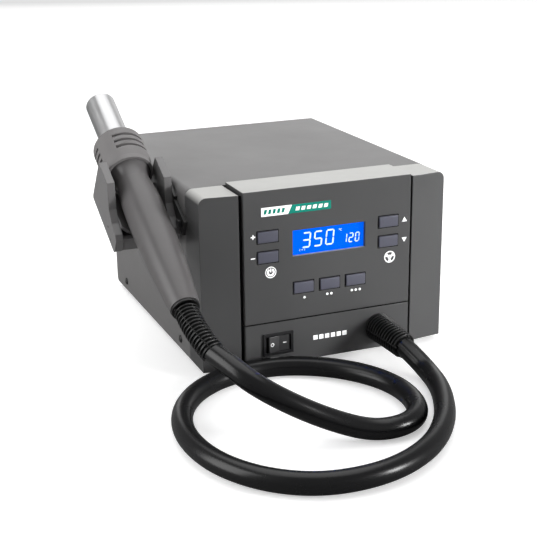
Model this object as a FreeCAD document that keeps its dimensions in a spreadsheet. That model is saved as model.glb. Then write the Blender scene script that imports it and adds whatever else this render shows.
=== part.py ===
import FreeCAD, Part
import math
import os
from types import SimpleNamespace

import Sketcher
from FreeCAD import Placement, Rotation, Vector

# Hot air rework station: a sheet-metal case with a moulded front, a fork on the left wall that carries
# the hot air handle, and the air hose between the two.
# Row frame: +X to the right of the front, +Y towards the rear, +Z up, the feet stand on Z = 0 and the
# origin is under the middle of the station with its handle in the fork. Millimetres.
# The case's own coordinates, used by spot(): x from its centre line, y from its front plane and z from
# the underside of the base pan.

os.makedirs("parts", exist_ok=True)
doc = FreeCAD.newDocument("HotAirStation")

dimensions = [
    # where the case stands in the row frame
    ("caseMidX", 23.7, "centre line of the case"),
    ("frontY", -76.4, "front plane of the wings"),
    ("footHeight", 4, "rubber feet"),
    # case
    ("caseWidth", 188, "outside width"),
    ("caseHeight", 126, "underside to top"),
    ("caseDepth", 229, "front plane to rear edge"),
    ("gauge", 1.2, "steel sheet"),
    ("coverRadius", 5, "outside bend of the cover"),
    ("sheetGap", 0.4, "play between nested sheets"),
    ("flange", 18, "height of the base pan's flanges"),
    ("rearInset", 1, "rear panel behind the cover's edge"),
    # front
    ("bezelDepth", 32, "moulded front frame"),
    ("bezelWall", 2.5, "its wall"),
    ("wingSetback", 3.4, "outer edge of a wing behind its inner edge"),
    ("wingInner", 66.6, "half the gap between the wings"),
    ("panelHalf", 64, "half width of both panels"),
    ("panelProud", 1.9, "panels in front of the wings"),
    ("panelSkin", 2.5, "panel thickness"),
    ("panelRim", 2.9, "rear edge of the panels' rims"),
    ("seamLow", 31.7, "top edge of the lower panel"),
    ("seamHigh", 32.7, "bottom edge of the control panel"),
    # display and keys
    ("lcdMidX", 0.2, "display centre"),
    ("lcdMidZ", 88, "display centre"),
    ("lcdWidth", 55.8, "opening"),
    ("lcdTall", 18.6, "opening"),
    ("keyWidth", 15.6, "key cap"),
    ("keyTall", 8.6, "key cap"),
    ("keyPlay", 0.2, "gap round a key"),
    ("keyProud", 1.1, "key in front of the panel"),
    ("keyTravel", 0.8, "key stroke"),
    ("keyColumn", 46.5, "left and right key columns"),
    ("keyUpperZ", 95.3, "upper keys"),
    ("keyLowerZ", 80.7, "lower keys"),
    ("presetZ", 55.3, "preset keys"),
    ("presetMidX", 0.5, "middle preset key"),
    ("presetPitch", 20.2, "preset key spacing"),
    ("boardY", 12, "front face of the control board"),
    # power switch
    ("rockerMidX", -39.6, "switch centre"),
    ("rockerMidZ", 15.9, "switch centre"),
    ("rockerTilt", 8, "tilt to each side, degrees"),
    # hose outlet
    ("outletX", 40, "outlet centre"),
    ("outletZ", 15.8, "outlet centre"),
    ("outletRadius", 10.2, "boot at the panel"),
    ("hoseDiameter", 14, "air hose"),
    ("mouthRadius", 7.9, "boots at their mouths"),
    ("airBore", 5, "air way in the boots"),
    # blower
    ("blowerX", 40, "blower centre"),
    ("blowerY", 120, "blower centre"),
    ("blowerRadius", 44, "housing"),
    ("blowerTop", 27, "joint of the housing halves"),
    ("shaftRadius", 2, "motor shaft"),
    # rear
    ("inletX", 46, "mains inlet centre"),
    ("inletZ", 38, "mains inlet centre"),
    # handle and fork
    ("axisX", -119.5, "handle axis beside the case"),
    ("axisZ", 87.5, "height of the handle axis at the front plane"),
    ("slope", 27.4, "rise of the handle towards the nozzle, degrees"),
    ("barrelRadius", 11, "heater barrel, nozzle seat"),
    ("barrelWall", 0.6, "heater barrel"),
    ("barrelEnd", 172, "tip of the barrel along the axis"),
    ("seatStart", 124.5, "nozzle seat begins, along the axis"),
    ("capRadius", 18.6, "vented cap"),
    ("capRim", 17.4, "lower rim of the cap"),
    ("forkHalf", 17.8, "half the gap of the fork"),
    ("cheek", 5.4, "thickness of a fork cheek"),
    ("shellWall", 2, "handle shell"),
]

sheet = doc.addObject("Spreadsheet::Sheet", "dims")


def numberOf(amount):
    return amount.number if isinstance(amount, Dim) else float(amount)


def formulaOf(amount):
    return amount.formula if isinstance(amount, Dim) else f"({float(amount)})"


class Dim:
    """A length that carries both its number and the sheet formula that it comes from."""

    def __init__(self, number, formula):
        self.number = float(number)
        self.formula = formula

    def __add__(self, other):
        return Dim(self.number + numberOf(other), f"({self.formula} + {formulaOf(other)})")

    def __sub__(self, other):
        return Dim(self.number - numberOf(other), f"({self.formula} - {formulaOf(other)})")

    def __rsub__(self, other):
        return Dim(numberOf(other) - self.number, f"({formulaOf(other)} - {self.formula})")

    def __mul__(self, other):
        return Dim(self.number * numberOf(other), f"({self.formula} * {formulaOf(other)})")

    def __truediv__(self, other):
        return Dim(self.number / numberOf(other), f"({self.formula} / {formulaOf(other)})")

    def __neg__(self):
        return Dim(-self.number, f"(-1 * {self.formula})")

    __radd__ = __add__
    __rmul__ = __mul__


d = SimpleNamespace()
for row, (alias, value, note) in enumerate(dimensions, start=1):
    sheet.set(f"A{row}", alias)
    sheet.set(f"B{row}", str(value))
    sheet.set(f"C{row}", note)
    sheet.setAlias(f"B{row}", alias)
    setattr(d, alias, Dim(value, f"dims.{alias}"))
doc.recompute()

subParts = []
upright = Vector(0, 0, 1)
rearwards = Vector(0, 1, 0)
sideways = Vector(1, 0, 0)
half = d.caseWidth / 2


def bind(thing, prop, amount):
    """Sets a property to a number, or ties it to the sheet."""
    if isinstance(amount, Dim):
        thing.setExpression(prop, amount.formula)
    else:
        setattr(thing, prop, amount)


def place(thing, where, turn=None):
    """Puts an object at a point, tied to the sheet, with an optional rotation."""
    thing.Placement = Placement(Vector(*[numberOf(c) for c in where]), turn or Rotation())
    for letter, amount in zip("xyz", where):
        if isinstance(amount, Dim):
            thing.setExpression(f"Placement.Base.{letter}", amount.formula)
    return thing


def spot(x, y, z):
    """A point in the case's own coordinates, as a point of the row frame."""
    return (d.caseMidX + x, d.frontY + y, d.footHeight + z)


def node(thing, label):
    """Names a finished sub-part, which is written to its own file."""
    thing.Label = label
    subParts.append(thing)
    return thing


def box(corner, size, label="block"):
    thing = doc.addObject("Part::Box", label)
    for prop, amount in zip(("Length", "Width", "Height"), size):
        bind(thing, prop, amount)
    return place(thing, corner)


def boxRound(centre, size, label="block"):
    """A box given by its centre."""
    return box([c - s / 2 for c, s in zip(centre, size)], size, label)


def rod(start, axis, radius, length, label="rod"):
    thing = doc.addObject("Part::Cylinder", label)
    bind(thing, "Radius", radius)
    bind(thing, "Height", length)
    return place(thing, start, Rotation(upright, axis))


def fuse(*pieces, label="joined"):
    thing = doc.addObject("Part::MultiFuse", label)
    thing.Shapes = list(pieces)
    thing.Refine = True
    return thing


def cut(base, *tools, label="cut"):
    thing = doc.addObject("Part::Cut", label)
    thing.Base = base
    thing.Tool = tools[0] if len(tools) == 1 else fuse(*tools)
    thing.Refine = True
    return thing


def common(base, tool, label="shared"):
    thing = doc.addObject("Part::Common", label)
    thing.Base = base
    thing.Tool = tool
    return thing


def group(pieces, label="group"):
    thing = doc.addObject("Part::Compound", label)
    thing.Links = list(pieces)
    return thing


def closedOutline(sketch, points):
    """Closed outline. A point is (x, y), or (x, y, (mx, my)) where an arc through (mx, my) follows it."""
    flat = [Vector(numberOf(p[0]), numberOf(p[1]), 0) for p in points]
    ends = []
    for k, point in enumerate(points):
        start, stop = flat[k], flat[(k + 1) % len(flat)]
        if len(point) == 3:
            through = Vector(numberOf(point[2][0]), numberOf(point[2][1]), 0)
            forward = (through - start).cross(stop - start).z > 0
            curve = Part.Arc(start, through, stop) if forward else Part.Arc(stop, through, start)
            sketch.addGeometry(curve)
            sketch.addConstraint(Sketcher.Constraint("Radius", k, curve.toShape().Curve.Radius))
            ends.append((1, 2) if forward else (2, 1))
        else:
            sketch.addGeometry(Part.LineSegment(start, stop))
            ends.append((1, 2))
    for k, (first, last) in enumerate(ends):
        after = (k + 1) % len(points)
        sketch.addConstraint(Sketcher.Constraint("Coincident", k, last, after, ends[after][0]))
        for kind, amount in (("DistanceX", points[k][0]), ("DistanceY", points[k][1])):
            held = Sketcher.Constraint(kind, -1, 1, k, first, numberOf(amount))
            index = sketch.addConstraint(held)
            if isinstance(amount, Dim):
                sketch.setExpression(f"Constraints[{index}]", amount.formula)


def sketched(label, plane, points):
    body = doc.addObject("PartDesign::Body", label)
    sketch = body.newObject("Sketcher::SketchObject", "Outline")
    wanted = [f for f in body.Origin.OriginFeatures if f.Role == plane][0]
    sketch.AttachmentSupport = (wanted, [""])
    sketch.MapMode = "FlatFace"
    closedOutline(sketch, points)
    return body, sketch


def padded(points, depth, plane="XZ_Plane", label="pad"):
    """An outline made solid towards +Y from XZ, +Z from XY or +X from YZ."""
    body, sketch = sketched(label, plane, points)
    pad = body.newObject("PartDesign::Pad", "Pad")
    pad.Profile = sketch
    bind(pad, "Length", depth)
    pad.Reversed = plane == "XZ_Plane"
    return body


def turned(points, label="turned"):
    """A solid of revolution about Z from points (radius, height)."""
    body, sketch = sketched(label, "XZ_Plane", points)
    spin = body.newObject("PartDesign::Revolution", "Revolution")
    spin.Profile = sketch
    spin.ReferenceAxis = (sketch, ["V_Axis"])
    spin.Angle = 360
    return body


def rounded(body, radius, wanted):
    """Rounds the edges of a body that wanted() accepts by their middle point and direction."""
    doc.recompute()
    names = []
    for k, edge in enumerate(body.Shape.Edges, start=1):
        if edge.Curve.TypeId != "Part::GeomLine":
            continue
        if wanted(body.Placement.inverse().multVec(edge.CenterOfMass), edge.Curve.Direction):
            names.append(f"Edge{k}")
    shape = body.Tip
    fillet = body.newObject("PartDesign::Fillet", "Fillet")
    fillet.Base = (shape, names)
    bind(fillet, "Radius", radius)
    body.Tip = fillet
    return body


def bend(cx, cy, radius, sx, sy):
    """The middle point of a quarter bend round a centre, towards the corner (sx, sy)."""
    reach = radius * math.sqrt(0.5)
    return (cx + reach * sx, cy + reach * sy)


# ---------------------------------------------------------------- sheet metal


def coverOutline():
    """An upturned U of sheet with rounded shoulders."""
    top, bendR, thin = d.caseHeight, d.coverRadius, d.gauge
    inner = half - thin
    shoulder = half - bendR
    low = top - bendR
    return [
        (-half, 0),
        (-half, low, bend(-shoulder, low, bendR, -1, 1)),
        (-shoulder, top),
        (shoulder, top, bend(shoulder, low, bendR, 1, 1)),
        (half, low),
        (half, 0),
        (inner, 0),
        (inner, low, bend(shoulder, low, bendR - thin, 1, 1)),
        (shoulder, top - thin),
        (-shoulder, top - thin, bend(-shoulder, low, bendR - thin, -1, 1)),
        (-inner, low),
        (-inner, 0),
    ]


coverStart = d.bezelDepth + 0.2
coverLength = d.caseDepth - coverStart
sideScrews = [(53.5, 8), (198.5, 8)]
rearScrews = [(-84, 10), (84, 10), (-72, 118), (72, 118)]
holderScrews = [(61.49, 103.6), (81.02, 113.73), (36.2, 101)]
footSpots = [(-72, 50), (72, 50), (-72, 206), (72, 206)]


def makeTopCover():
    shell = padded(coverOutline(), coverLength, label="coverSheet")
    rounded(shell, 4, lambda m, way: abs(way.x) > 0.9 and m.z < 1 and m.y > 100)
    place(shell, spot(0, coverStart, 0))
    lip = box(spot(-80, d.caseDepth - 3.6, 112), (160, d.gauge, d.caseHeight - 112 - d.gauge / 2))
    holes = [rod(spot(-half - 1, y, z), sideways, 1.6, d.caseWidth + 2) for y, z in sideScrews]
    holes += [rod(spot(x, d.caseDepth - 5, z), rearwards, 1.6, 4) for x, z in rearScrews[2:]]
    holes += [rod(spot(-half - 1, y, z), sideways, 1.6, 3) for y, z in holderScrews]
    return node(cut(fuse(shell, lip), *holes), "top_cover")


def makeBasePan():
    side = half - d.gauge - d.sheetGap
    thin = d.gauge
    pan = padded(
        [
            (-side, 0),
            (side, 0),
            (side, d.flange),
            (side - thin, d.flange),
            (side - thin, thin),
            (thin - side, thin),
            (thin - side, d.flange),
            (-side, d.flange),
        ],
        d.caseDepth - d.bezelDepth - 2.9,
        label="panSheet",
    )
    place(pan, spot(0, d.bezelDepth + 0.4, 0))
    rear = box(spot(thin - side, d.caseDepth - 3.7, 0), (side * 2 - thin * 2, thin, d.flange))
    tools = [rod(spot(-half - 1, y, z), sideways, 1.6, d.caseWidth + 2) for y, z in sideScrews]
    tools += [rod(spot(x, d.caseDepth - 5, z), rearwards, 1.6, 4) for x, z in rearScrews[:2]]
    tools += [rod(spot(x, y, -1), upright, 1.8, 4) for x, y in footSpots]
    for k in range(-3, 4):
        tools.append(box(spot(d.blowerX + 4.4 * k - 1.2, d.blowerY - 13, -1), (2.4, 26, 4)))
    return node(cut(fuse(pan, rear), *tools), "base_pan")


def makeRearPanel():
    side = half - d.gauge - d.sheetGap
    behind = d.caseDepth - d.rearInset - d.gauge
    top = d.caseHeight - d.gauge * 2 - 0.4
    outline = [(-side, 0), (side, 0), (side, top - 4), (side - 4, top), (4 - side, top), (-side, top - 4)]
    plate = padded(outline, d.gauge, label="rearSheet")
    place(plate, spot(0, behind, d.gauge + 0.2))
    tools = [boxRound(spot(d.inletX, behind, d.inletZ), (27.4, 8, 32.4))]
    tools += [rod(spot(x, behind - 2, z), rearwards, 1.6, 6) for x, z in rearScrews]
    for k in range(9):
        tools.append(box(spot(-66 + 7.5 * k, behind - 2, 58), (3.2, 6, 42)))
    return node(cut(plate, *tools), "rear_panel")


# ---------------------------------------------------------------- moulded front


def frontOutline():
    top, corner = d.caseHeight, 5.5
    side = half - corner
    low = top - corner
    return [
        (-half, 0),
        (half, 0),
        (half, low, bend(side, low, corner, 1, 1)),
        (side, top),
        (-side, top, bend(-side, low, corner, -1, 1)),
        (-half, low),
    ]


def makeBezel():
    outer = place(padded(frontOutline(), d.bezelDepth, label="bezelBlock"), spot(0, 0, 0))
    drop = d.wingSetback
    tools = []
    for sign in (-1, 1):
        wedge = padded(
            [
                (sign * d.wingInner, 0),
                (sign * d.wingInner, -1),
                (sign * (half + 1), -1),
                (sign * (half + 1), drop + drop / (half - d.wingInner)),
            ],
            d.caseHeight + 4,
            plane="XY_Plane",
            label="wingSlope",
        )
        tools.append(place(wedge, spot(0, 0, -2)))
    wall = d.bezelWall
    inside = half - wall
    gap = d.wingInner * 2
    tools.append(box(spot(-inside, 6.5, wall), (inside * 2, d.bezelDepth, d.caseHeight - wall * 2)))
    tools.append(box(spot(-d.wingInner, -2, -1), (gap, 5, d.caseHeight + 4)))
    tools.append(box(spot(-d.wingInner, -2, d.caseHeight - wall), (gap, d.bezelDepth + 4, 5)))
    tools.append(box(spot(-60, 2, 4.5), (120, 6, 114.5)))
    return node(cut(outer, *tools), "front_bezel")


keySpots = {
    "key_plus": (-d.keyColumn, d.keyUpperZ),
    "key_minus": (-d.keyColumn, d.keyLowerZ),
    "key_up": (d.keyColumn, d.keyUpperZ),
    "key_down": (d.keyColumn, d.keyLowerZ),
    "key_preset_1": (d.presetMidX - d.presetPitch, d.presetZ),
    "key_preset_2": (d.presetMidX, d.presetZ),
    "key_preset_3": (d.presetMidX + d.presetPitch, d.presetZ),
}
bossSpots = [(-53, 44), (53, 44), (-53, 114), (53, 114)]


def panelSkin(low, high):
    """A front plate with a rim behind its edges, between two heights."""
    wide = d.panelHalf * 2
    face = -d.panelProud
    back = face + d.panelSkin
    rim = d.panelRim - back
    plate = box(spot(-d.panelHalf, face, low), (wide, d.panelSkin, high - low))
    left = box(spot(-d.panelHalf, back, low), (2, rim, high - low))
    right = box(spot(d.panelHalf - 2, back, low), (2, rim, high - low))
    return [plate, left, right]


def makeControlPanel():
    top = d.caseHeight + d.panelProud
    back = d.panelSkin - d.panelProud
    wide = d.panelHalf * 2
    lid = box(spot(-d.panelHalf, back, top - d.panelSkin), (wide, d.bezelDepth - back, d.panelSkin))
    walls = [
        box(spot(x, d.panelRim, d.caseHeight - 2), (2, d.bezelDepth - d.panelRim, 2))
        for x in (-d.panelHalf, d.panelHalf - 2)
    ]
    foot = box(spot(-d.panelHalf, back, d.seamHigh), (wide, d.panelRim - back, 2))
    bosses = [rod(spot(x, back, z), rearwards, 3, d.boardY - back) for x, z in bossSpots]
    solid = fuse(*panelSkin(d.seamHigh, top), lid, foot, *walls, *bosses)
    play = d.keyPlay * 2
    size = (d.keyWidth + play, 6, d.keyTall + play)
    tools = [boxRound(spot(x, 0, z), size) for x, z in keySpots.values()]
    tools.append(boxRound(spot(d.lcdMidX, 0, d.lcdMidZ), (d.lcdWidth, 6, d.lcdTall)))
    tools += [rod(spot(x, 6, z), rearwards, 1.1, 8) for x, z in bossSpots]
    return node(cut(solid, *tools), "control_panel")


def makeLowerPanel():
    back = d.panelSkin - d.panelProud
    wide = d.panelHalf * 2
    head = box(spot(-d.panelHalf, back, d.seamLow - 2), (wide, d.panelRim - back, 2))
    tools = [
        boxRound(spot(d.rockerMidX, 0, d.rockerMidZ), (20.8, 8, 14)),
        rod(spot(d.outletX, -4, d.outletZ), rearwards, d.outletRadius + 0.2, 8),
    ]
    return node(cut(fuse(*panelSkin(0, d.seamLow), head), *tools), "lower_panel")


def makeKeys():
    """A key is a cap through the panel, a flange behind it and a stem to the switch."""
    back = d.panelSkin - d.panelProud
    for label, (x, z) in keySpots.items():
        face = -d.panelProud - d.keyProud
        cap = box(
            spot(x - d.keyWidth / 2, face, z - d.keyTall / 2),
            (d.keyWidth, back + 0.2 - face, d.keyTall),
        )
        edges = doc.addObject("Part::Chamfer", "keyEdge")
        edges.Base = cap
        doc.recompute()
        front = numberOf(d.frontY + face)
        edges.Edges = [
            (k, 0.35, 0.35)
            for k, edge in enumerate(cap.Shape.Edges, start=1)
            if abs(edge.CenterOfMass.y - front) < 0.01
        ]
        flange = boxRound(spot(x, back + 0.8, z), (d.keyWidth + 2, 1.2, d.keyTall + 2))
        stem = rod(spot(x, back + 1, z), rearwards, 2, d.boardY - 4.1 - back - 1)
        node(fuse(edges, flange, stem), label)


def makeDisplay():
    x, z = d.lcdMidX, d.lcdMidZ
    node(boxRound(spot(x, 1.45, z), (d.lcdWidth + 4, 1.5, d.lcdTall + 4)), "lcd_window")
    glass = boxRound(spot(x, 3.1, z), (d.lcdWidth + 4, 1.6, d.lcdTall + 5))
    frame = boxRound(spot(x, 7.9, z), (64, 8.2, 30))
    node(fuse(glass, frame), "lcd_module")
    board = box(spot(-57, d.boardY, 40), (114, 1.6, 78))
    holes = [rod(spot(x, d.boardY - 2, z), rearwards, 1.3, 6) for x, z in bossSpots]
    node(cut(board, *holes), "control_board")
    middle = d.boardY - 1.55
    switches = [boxRound(spot(x, middle, z), (6, 3.1, 6)) for x, z in keySpots.values()]
    node(group(switches), "tact_switches")
    screws = []
    for x, z in bossSpots:
        shank = rod(spot(x, 7, z), rearwards, 1.1, d.boardY - 5.4)
        head = rod(spot(x, d.boardY + 1.6, z), rearwards, 2.4, 1.6)
        screws.append(fuse(shank, head))
    node(group(screws), "board_screws")


def makeBadge():
    where = spot(-24.9, -d.panelProud - 0.15, 112.9)
    node(boxRound(where, (52.3, 0.3, 6.3)), "badge_plate")


pivotY = 2.2


def makeSwitch():
    x, z = d.rockerMidX, d.rockerMidZ
    face = -d.panelProud
    flange = boxRound(spot(x, face - 0.7, z), (22.7, 1.4, 16))
    housing = boxRound(spot(x, face + 7, z), (20.4, 14, 13.6))
    tools = [
        boxRound(spot(x, face + 3.1, z), (19.1, 12, 12)),
        rod(spot(x, pivotY, z - 6.75), upright, 1.3, 13.5),
    ]
    blades = [boxRound(spot(x + k, face + 17, z), (0.8, 6.2, 4.8)) for k in (-7, 0, 7)]
    node(fuse(cut(fuse(flange, housing), *tools), *blades), "power_switch_body")
    outline = [(-8.4, -5.6), (0, -4.7), (8.4, -5.6), (8.0, 1), (3, 3.6), (-3, 3.6), (-8.0, 1)]
    lever = padded(outline, 11.6, plane="XY_Plane", label="rockerLever")
    place(lever, (0, 0, -5.8))
    pin = rod((0, 0, -6.7), upright, 1.25, 13.4)
    rocker = fuse(lever, pin)
    place(rocker, spot(x, pivotY, z), Rotation(upright, d.rockerTilt.number))
    rocker.setExpression("Placement.Rotation.Angle", d.rockerTilt.formula)
    node(rocker, "power_switch_rocker")


# ---------------------------------------------------------------- electronics


def makeElectronics():
    pads = [(-80, 54), (-16, 54), (-80, 146), (-16, 146)]
    base = d.gauge
    board = box(spot(-87, 48, 8), (78, 104, 1.6))
    node(board, "main_board")
    node(group(rod(spot(x, y, base), upright, 3, 8 - base) for x, y in pads), "board_standoffs")
    back = box(spot(-78, 74, 9.6), (50, 3, 36))
    fins = [box(spot(-78 + 6.7 * k, 60, 9.6), (2, 14, 36)) for k in range(8)]
    node(fuse(back, *fins), "heatsink")
    tab = box(spot(-58, 77, 12), (10, 1.3, 16))
    package = box(spot(-58, 77, 12), (10, 4.5, 9))
    node(fuse(tab, package), "triac")
    limbs = [
        boxRound(spot(-50, 183, base + 4), (60, 42, 8)),
        boxRound(spot(-50, 183, base + 44), (60, 42, 8)),
        boxRound(spot(-76, 183, base + 24), (8, 42, 32)),
        boxRound(spot(-24, 183, base + 24), (8, 42, 32)),
        boxRound(spot(-50, 183, base + 24), (16, 42, 32)),
    ]
    node(fuse(*limbs), "transformer_core")
    winding = cut(
        boxRound(spot(-50, 183, base + 24), (42, 66, 31)),
        boxRound(spot(-50, 183, base + 24), (16.2, 42.2, 40)),
    )
    node(winding, "transformer_coil")


# ---------------------------------------------------------------- blower


def makeBlower():
    wide, rimZ = d.blowerRadius, d.blowerTop
    floor = d.gauge
    cup = turned(
        [(16, 0), (wide, 0), (wide, rimZ - floor), (wide - 2, rimZ - floor), (wide - 2, 2), (16, 2)],
        label="blowerCup",
    )
    place(cup, spot(d.blowerX, d.blowerY, floor))
    nose = rod(spot(d.outletX, 62, d.outletZ), rearwards, 8.5, d.blowerY - 62 - d.blowerRadius + 3)
    way = rod(spot(d.outletX, 60, d.outletZ), rearwards, 7.2, d.blowerY - 60 - 36)
    inside = rod(spot(d.blowerX, d.blowerY, floor + 2), upright, wide - 2, rimZ)
    node(cut(fuse(cup, nose), way, inside), "blower_housing_lower")
    lid = turned(
        [(3.4, 0), (wide, 0), (wide, 2.4), (17.4, 2.4), (17.4, 8), (15.2, 8), (15.2, 2.4), (3.4, 2.4)],
        label="blowerLid",
    )
    node(place(lid, spot(d.blowerX, d.blowerY, rimZ)), "blower_housing_upper")
    can = turned([(6, 0), (15, 0), (15, 29), (12, 31), (6, 31)], label="motorCan")
    node(place(can, spot(d.blowerX, d.blowerY, rimZ + 2.4)), "blower_motor")
    fit = d.shaftRadius + 0.03
    races = []
    for up in (2.4, 27.4):
        race = turned([(fit, 0), (6, 0), (6, 4), (fit, 4)], label="race")
        races.append(place(race, spot(d.blowerX, d.blowerY, rimZ + up)))
    node(group(races), "motor_bearings")
    shaft = turned([(0, 0), (2, 0), (2, 30), (5, 31), (5, 46), (2, 47), (2, 60), (0, 60)], label="shaft")
    node(place(shaft, spot(d.blowerX, d.blowerY, 5)), "motor_shaft")
    hub = rod(spot(d.blowerX, d.blowerY, 8), upright, 6, 16)
    disc = rod(spot(d.blowerX, d.blowerY, 22), upright, 37, 1.6)
    blades = []
    for k in range(12):
        angle = math.radians(30 * k)
        foot = spot(d.blowerX + 5 * math.cos(angle), d.blowerY + 5 * math.sin(angle), 8)
        blade = doc.addObject("Part::Box", "blade")
        blade.Length, blade.Width, blade.Height = 31, 1.2, 14.5
        blades.append(place(blade, foot, Rotation(upright, 30 * k)))
    bore = rod(spot(d.blowerX, d.blowerY, 6), upright, d.shaftRadius, 20)
    node(cut(fuse(hub, disc, *blades), bore), "impeller")
    tube = rod(spot(d.outletX, 6.3, d.outletZ), rearwards, 9.8, 68)
    node(cut(tube, rod(spot(d.outletX, 5, d.outletZ), rearwards, 8.55, 72)), "air_duct")
    band = rod(spot(d.outletX, 65, d.outletZ), rearwards, 11, 6)
    node(cut(band, rod(spot(d.outletX, 64, d.outletZ), rearwards, 9.8, 8)), "duct_clamp")


# ---------------------------------------------------------------- rear inlet


def makeInlet():
    x, z = d.inletX, d.inletZ
    face = d.caseDepth - d.rearInset
    flange = boxRound(spot(x, face + 1.1, z), (31, 2.2, 37))
    body = boxRound(spot(x, face - 13, z), (27, 26, 32))
    cavity = boxRound(spot(x, face - 6, z + 6), (24.5, 20, 17))
    slot = boxRound(spot(x, face - 9, z - 10.5), (22.4, 26, 8.6))
    shell = cut(fuse(flange, body), cavity, slot)
    pins = [
        boxRound(spot(x + side, face - 11, z + up), (2, 11, 4)) for side, up in ((-7, 4), (7, 4), (0, 9))
    ]
    node(fuse(shell, *pins), "mains_inlet")
    tray = boxRound(spot(x, face - 8.6, z - 10.5), (22, 22, 8.2))
    grip = boxRound(spot(x, face + 3.1, z - 10.5), (24, 1.4, 10))
    cradle = boxRound(spot(x, face - 10, z - 8.5), (20.4, 5.6, 6))
    node(cut(fuse(tray, grip), cradle), "fuse_drawer")
    node(rod(spot(x - 10, face - 10, z - 8.9), sideways, 2.5, 20), "fuse")


# ---------------------------------------------------------------- fasteners and feet


def makeFasteners():
    feet, footScrews = [], []
    for x, y in footSpots:
        pad = turned([(1.8, 0), (3.6, 0), (3.6, 1.6), (7, 1.6), (8, 4), (1.8, 4)], label="foot")
        ring = turned([(3.6, 0), (7, 0), (7, 1.6), (3.6, 1.6)], label="footRing")
        pads = [place(piece, spot(x, y, -d.footHeight)) for piece in (pad, ring)]
        feet.append(cut(fuse(*pads), rod(spot(x, y, -5), upright, 3.5, 3.4)))
        head = rod(spot(x, y, -2.9), upright, 3.2, 1.3)
        footScrews.append(fuse(head, rod(spot(x, y, -1.7), upright, 1.6, 5)))
    node(group(feet), "feet")
    node(group(footScrews), "foot_screws")
    sides = []
    for y, z in sideScrews:
        for sign in (-1, 1):
            way = Vector(-sign, 0, 0)
            head = rod(spot(sign * (half + 1), y, z), way, 3, 1)
            sides.append(fuse(head, rod(spot(sign * (half + 0.2), y, z), way, 1.5, 6)))
    node(group(sides), "cover_screws")
    rears = []
    for x, z in rearScrews:
        head = rod(spot(x, d.caseDepth - d.rearInset, z), rearwards, 3, 1.4)
        rears.append(fuse(head, rod(spot(x, d.caseDepth - 8, z), rearwards, 1.5, 7.4)))
    node(group(rears), "rear_screws")


# ---------------------------------------------------------------- fork and handle
# These are made along Z, from the point of the handle axis over the front plane, and then laid
# back: their Z is the axis towards the nozzle and their +Y faces down and back.


def alongAxis(thing):
    """Lays a piece made along Z on the handle's axis."""
    turn = Rotation(sideways, d.slope.number - 90)
    return place(group([thing]), spot(d.axisX, 0, d.axisZ), turn)


def makeFork():
    outline = [
        (-13.5, 67.5),
        (-13.5, 90),
        (24.5, 97.5),
        (24.5, 37),
        (12.5, 36),
        (9.5, 39.5),
        (7.5, 49),
        (2.5, 58),
    ]
    pieces = []
    for start in (-d.forkHalf - d.cheek, d.forkHalf):
        plate = padded(outline, d.cheek, plane="YZ_Plane", label="cheekPlate")
        rounded(plate, 2.5, lambda m, way: abs(way.x) > 0.9 and m.y > 20)
        pieces.append(place(plate, (start, 0, 0)))
    gap = d.forkHalf * 2
    pieces.append(box((-d.forkHalf, 17.6, 39), (gap, 6.9, 46)))
    pieces.append(box((-d.forkHalf, 14.4, 39), (gap, 3.2, 4)))
    holes = [rod((-30, y, z), sideways, 1, 9) for y, z in ((16.6, 56), (22.5, 49))]
    pocket = rod((0, 18.5, 60), Vector(0, 1, 0), 4.1, 4)
    threads = [rod((d.forkHalf - 1, y, z), sideways, 1.2, 8) for y, z in ((14, 62), (14, 84))]
    node(alongAxis(cut(fuse(*pieces), *holes, pocket, *threads)), "holder_yoke")
    # The cradle is a bent web that the handle's belly lies on.
    reach = d.forkHalf - 0.1
    web = padded(
        [
            (-reach, 5.5, (0, 14.6)),
            (reach, 5.5),
            (reach, 8.5, (0, 17.5)),
            (-reach, 8.5),
        ],
        41,
        plane="XY_Plane",
        label="cradleWeb",
    )
    place(web, (0, 0, 44))
    node(alongAxis(web), "holder_saddle")
    magnet = rod((0, 18.6, 60), Vector(0, 1, 0), 4, 3.6)
    node(alongAxis(magnet), "holder_magnet")
    wallGap = -half - d.axisX - d.forkHalf - d.cheek
    plate = box((d.forkHalf + d.cheek, -4, 57), (wallGap, 26, 34))
    tab = box((d.forkHalf + d.cheek, -1.5, 32), (wallGap, 12, 28))
    holes = [rod((d.forkHalf, y, z), sideways, 1.6, 12) for y, z in ((14, 62), (14, 84), (4.67, 38.35))]
    node(alongAxis(cut(fuse(plate, tab), *holes)), "holder_bracket")
    screws = []
    for y, z in holderScrews[:2]:
        shank = rod(spot(-101, y, z), sideways, 1.1, 9)
        screws.append(fuse(shank, rod(spot(d.gauge - half, y, z), sideways, 3, 1.4)))
    y, z = holderScrews[2]
    knob = rod(spot(-half - wallGap - 2.5, y, z), sideways, 3.2, 2.5)
    screws.append(fuse(knob, rod(spot(-half - wallGap - 1, y, z), sideways, 1.5, 8)))
    node(group(screws), "holder_screws")


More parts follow.
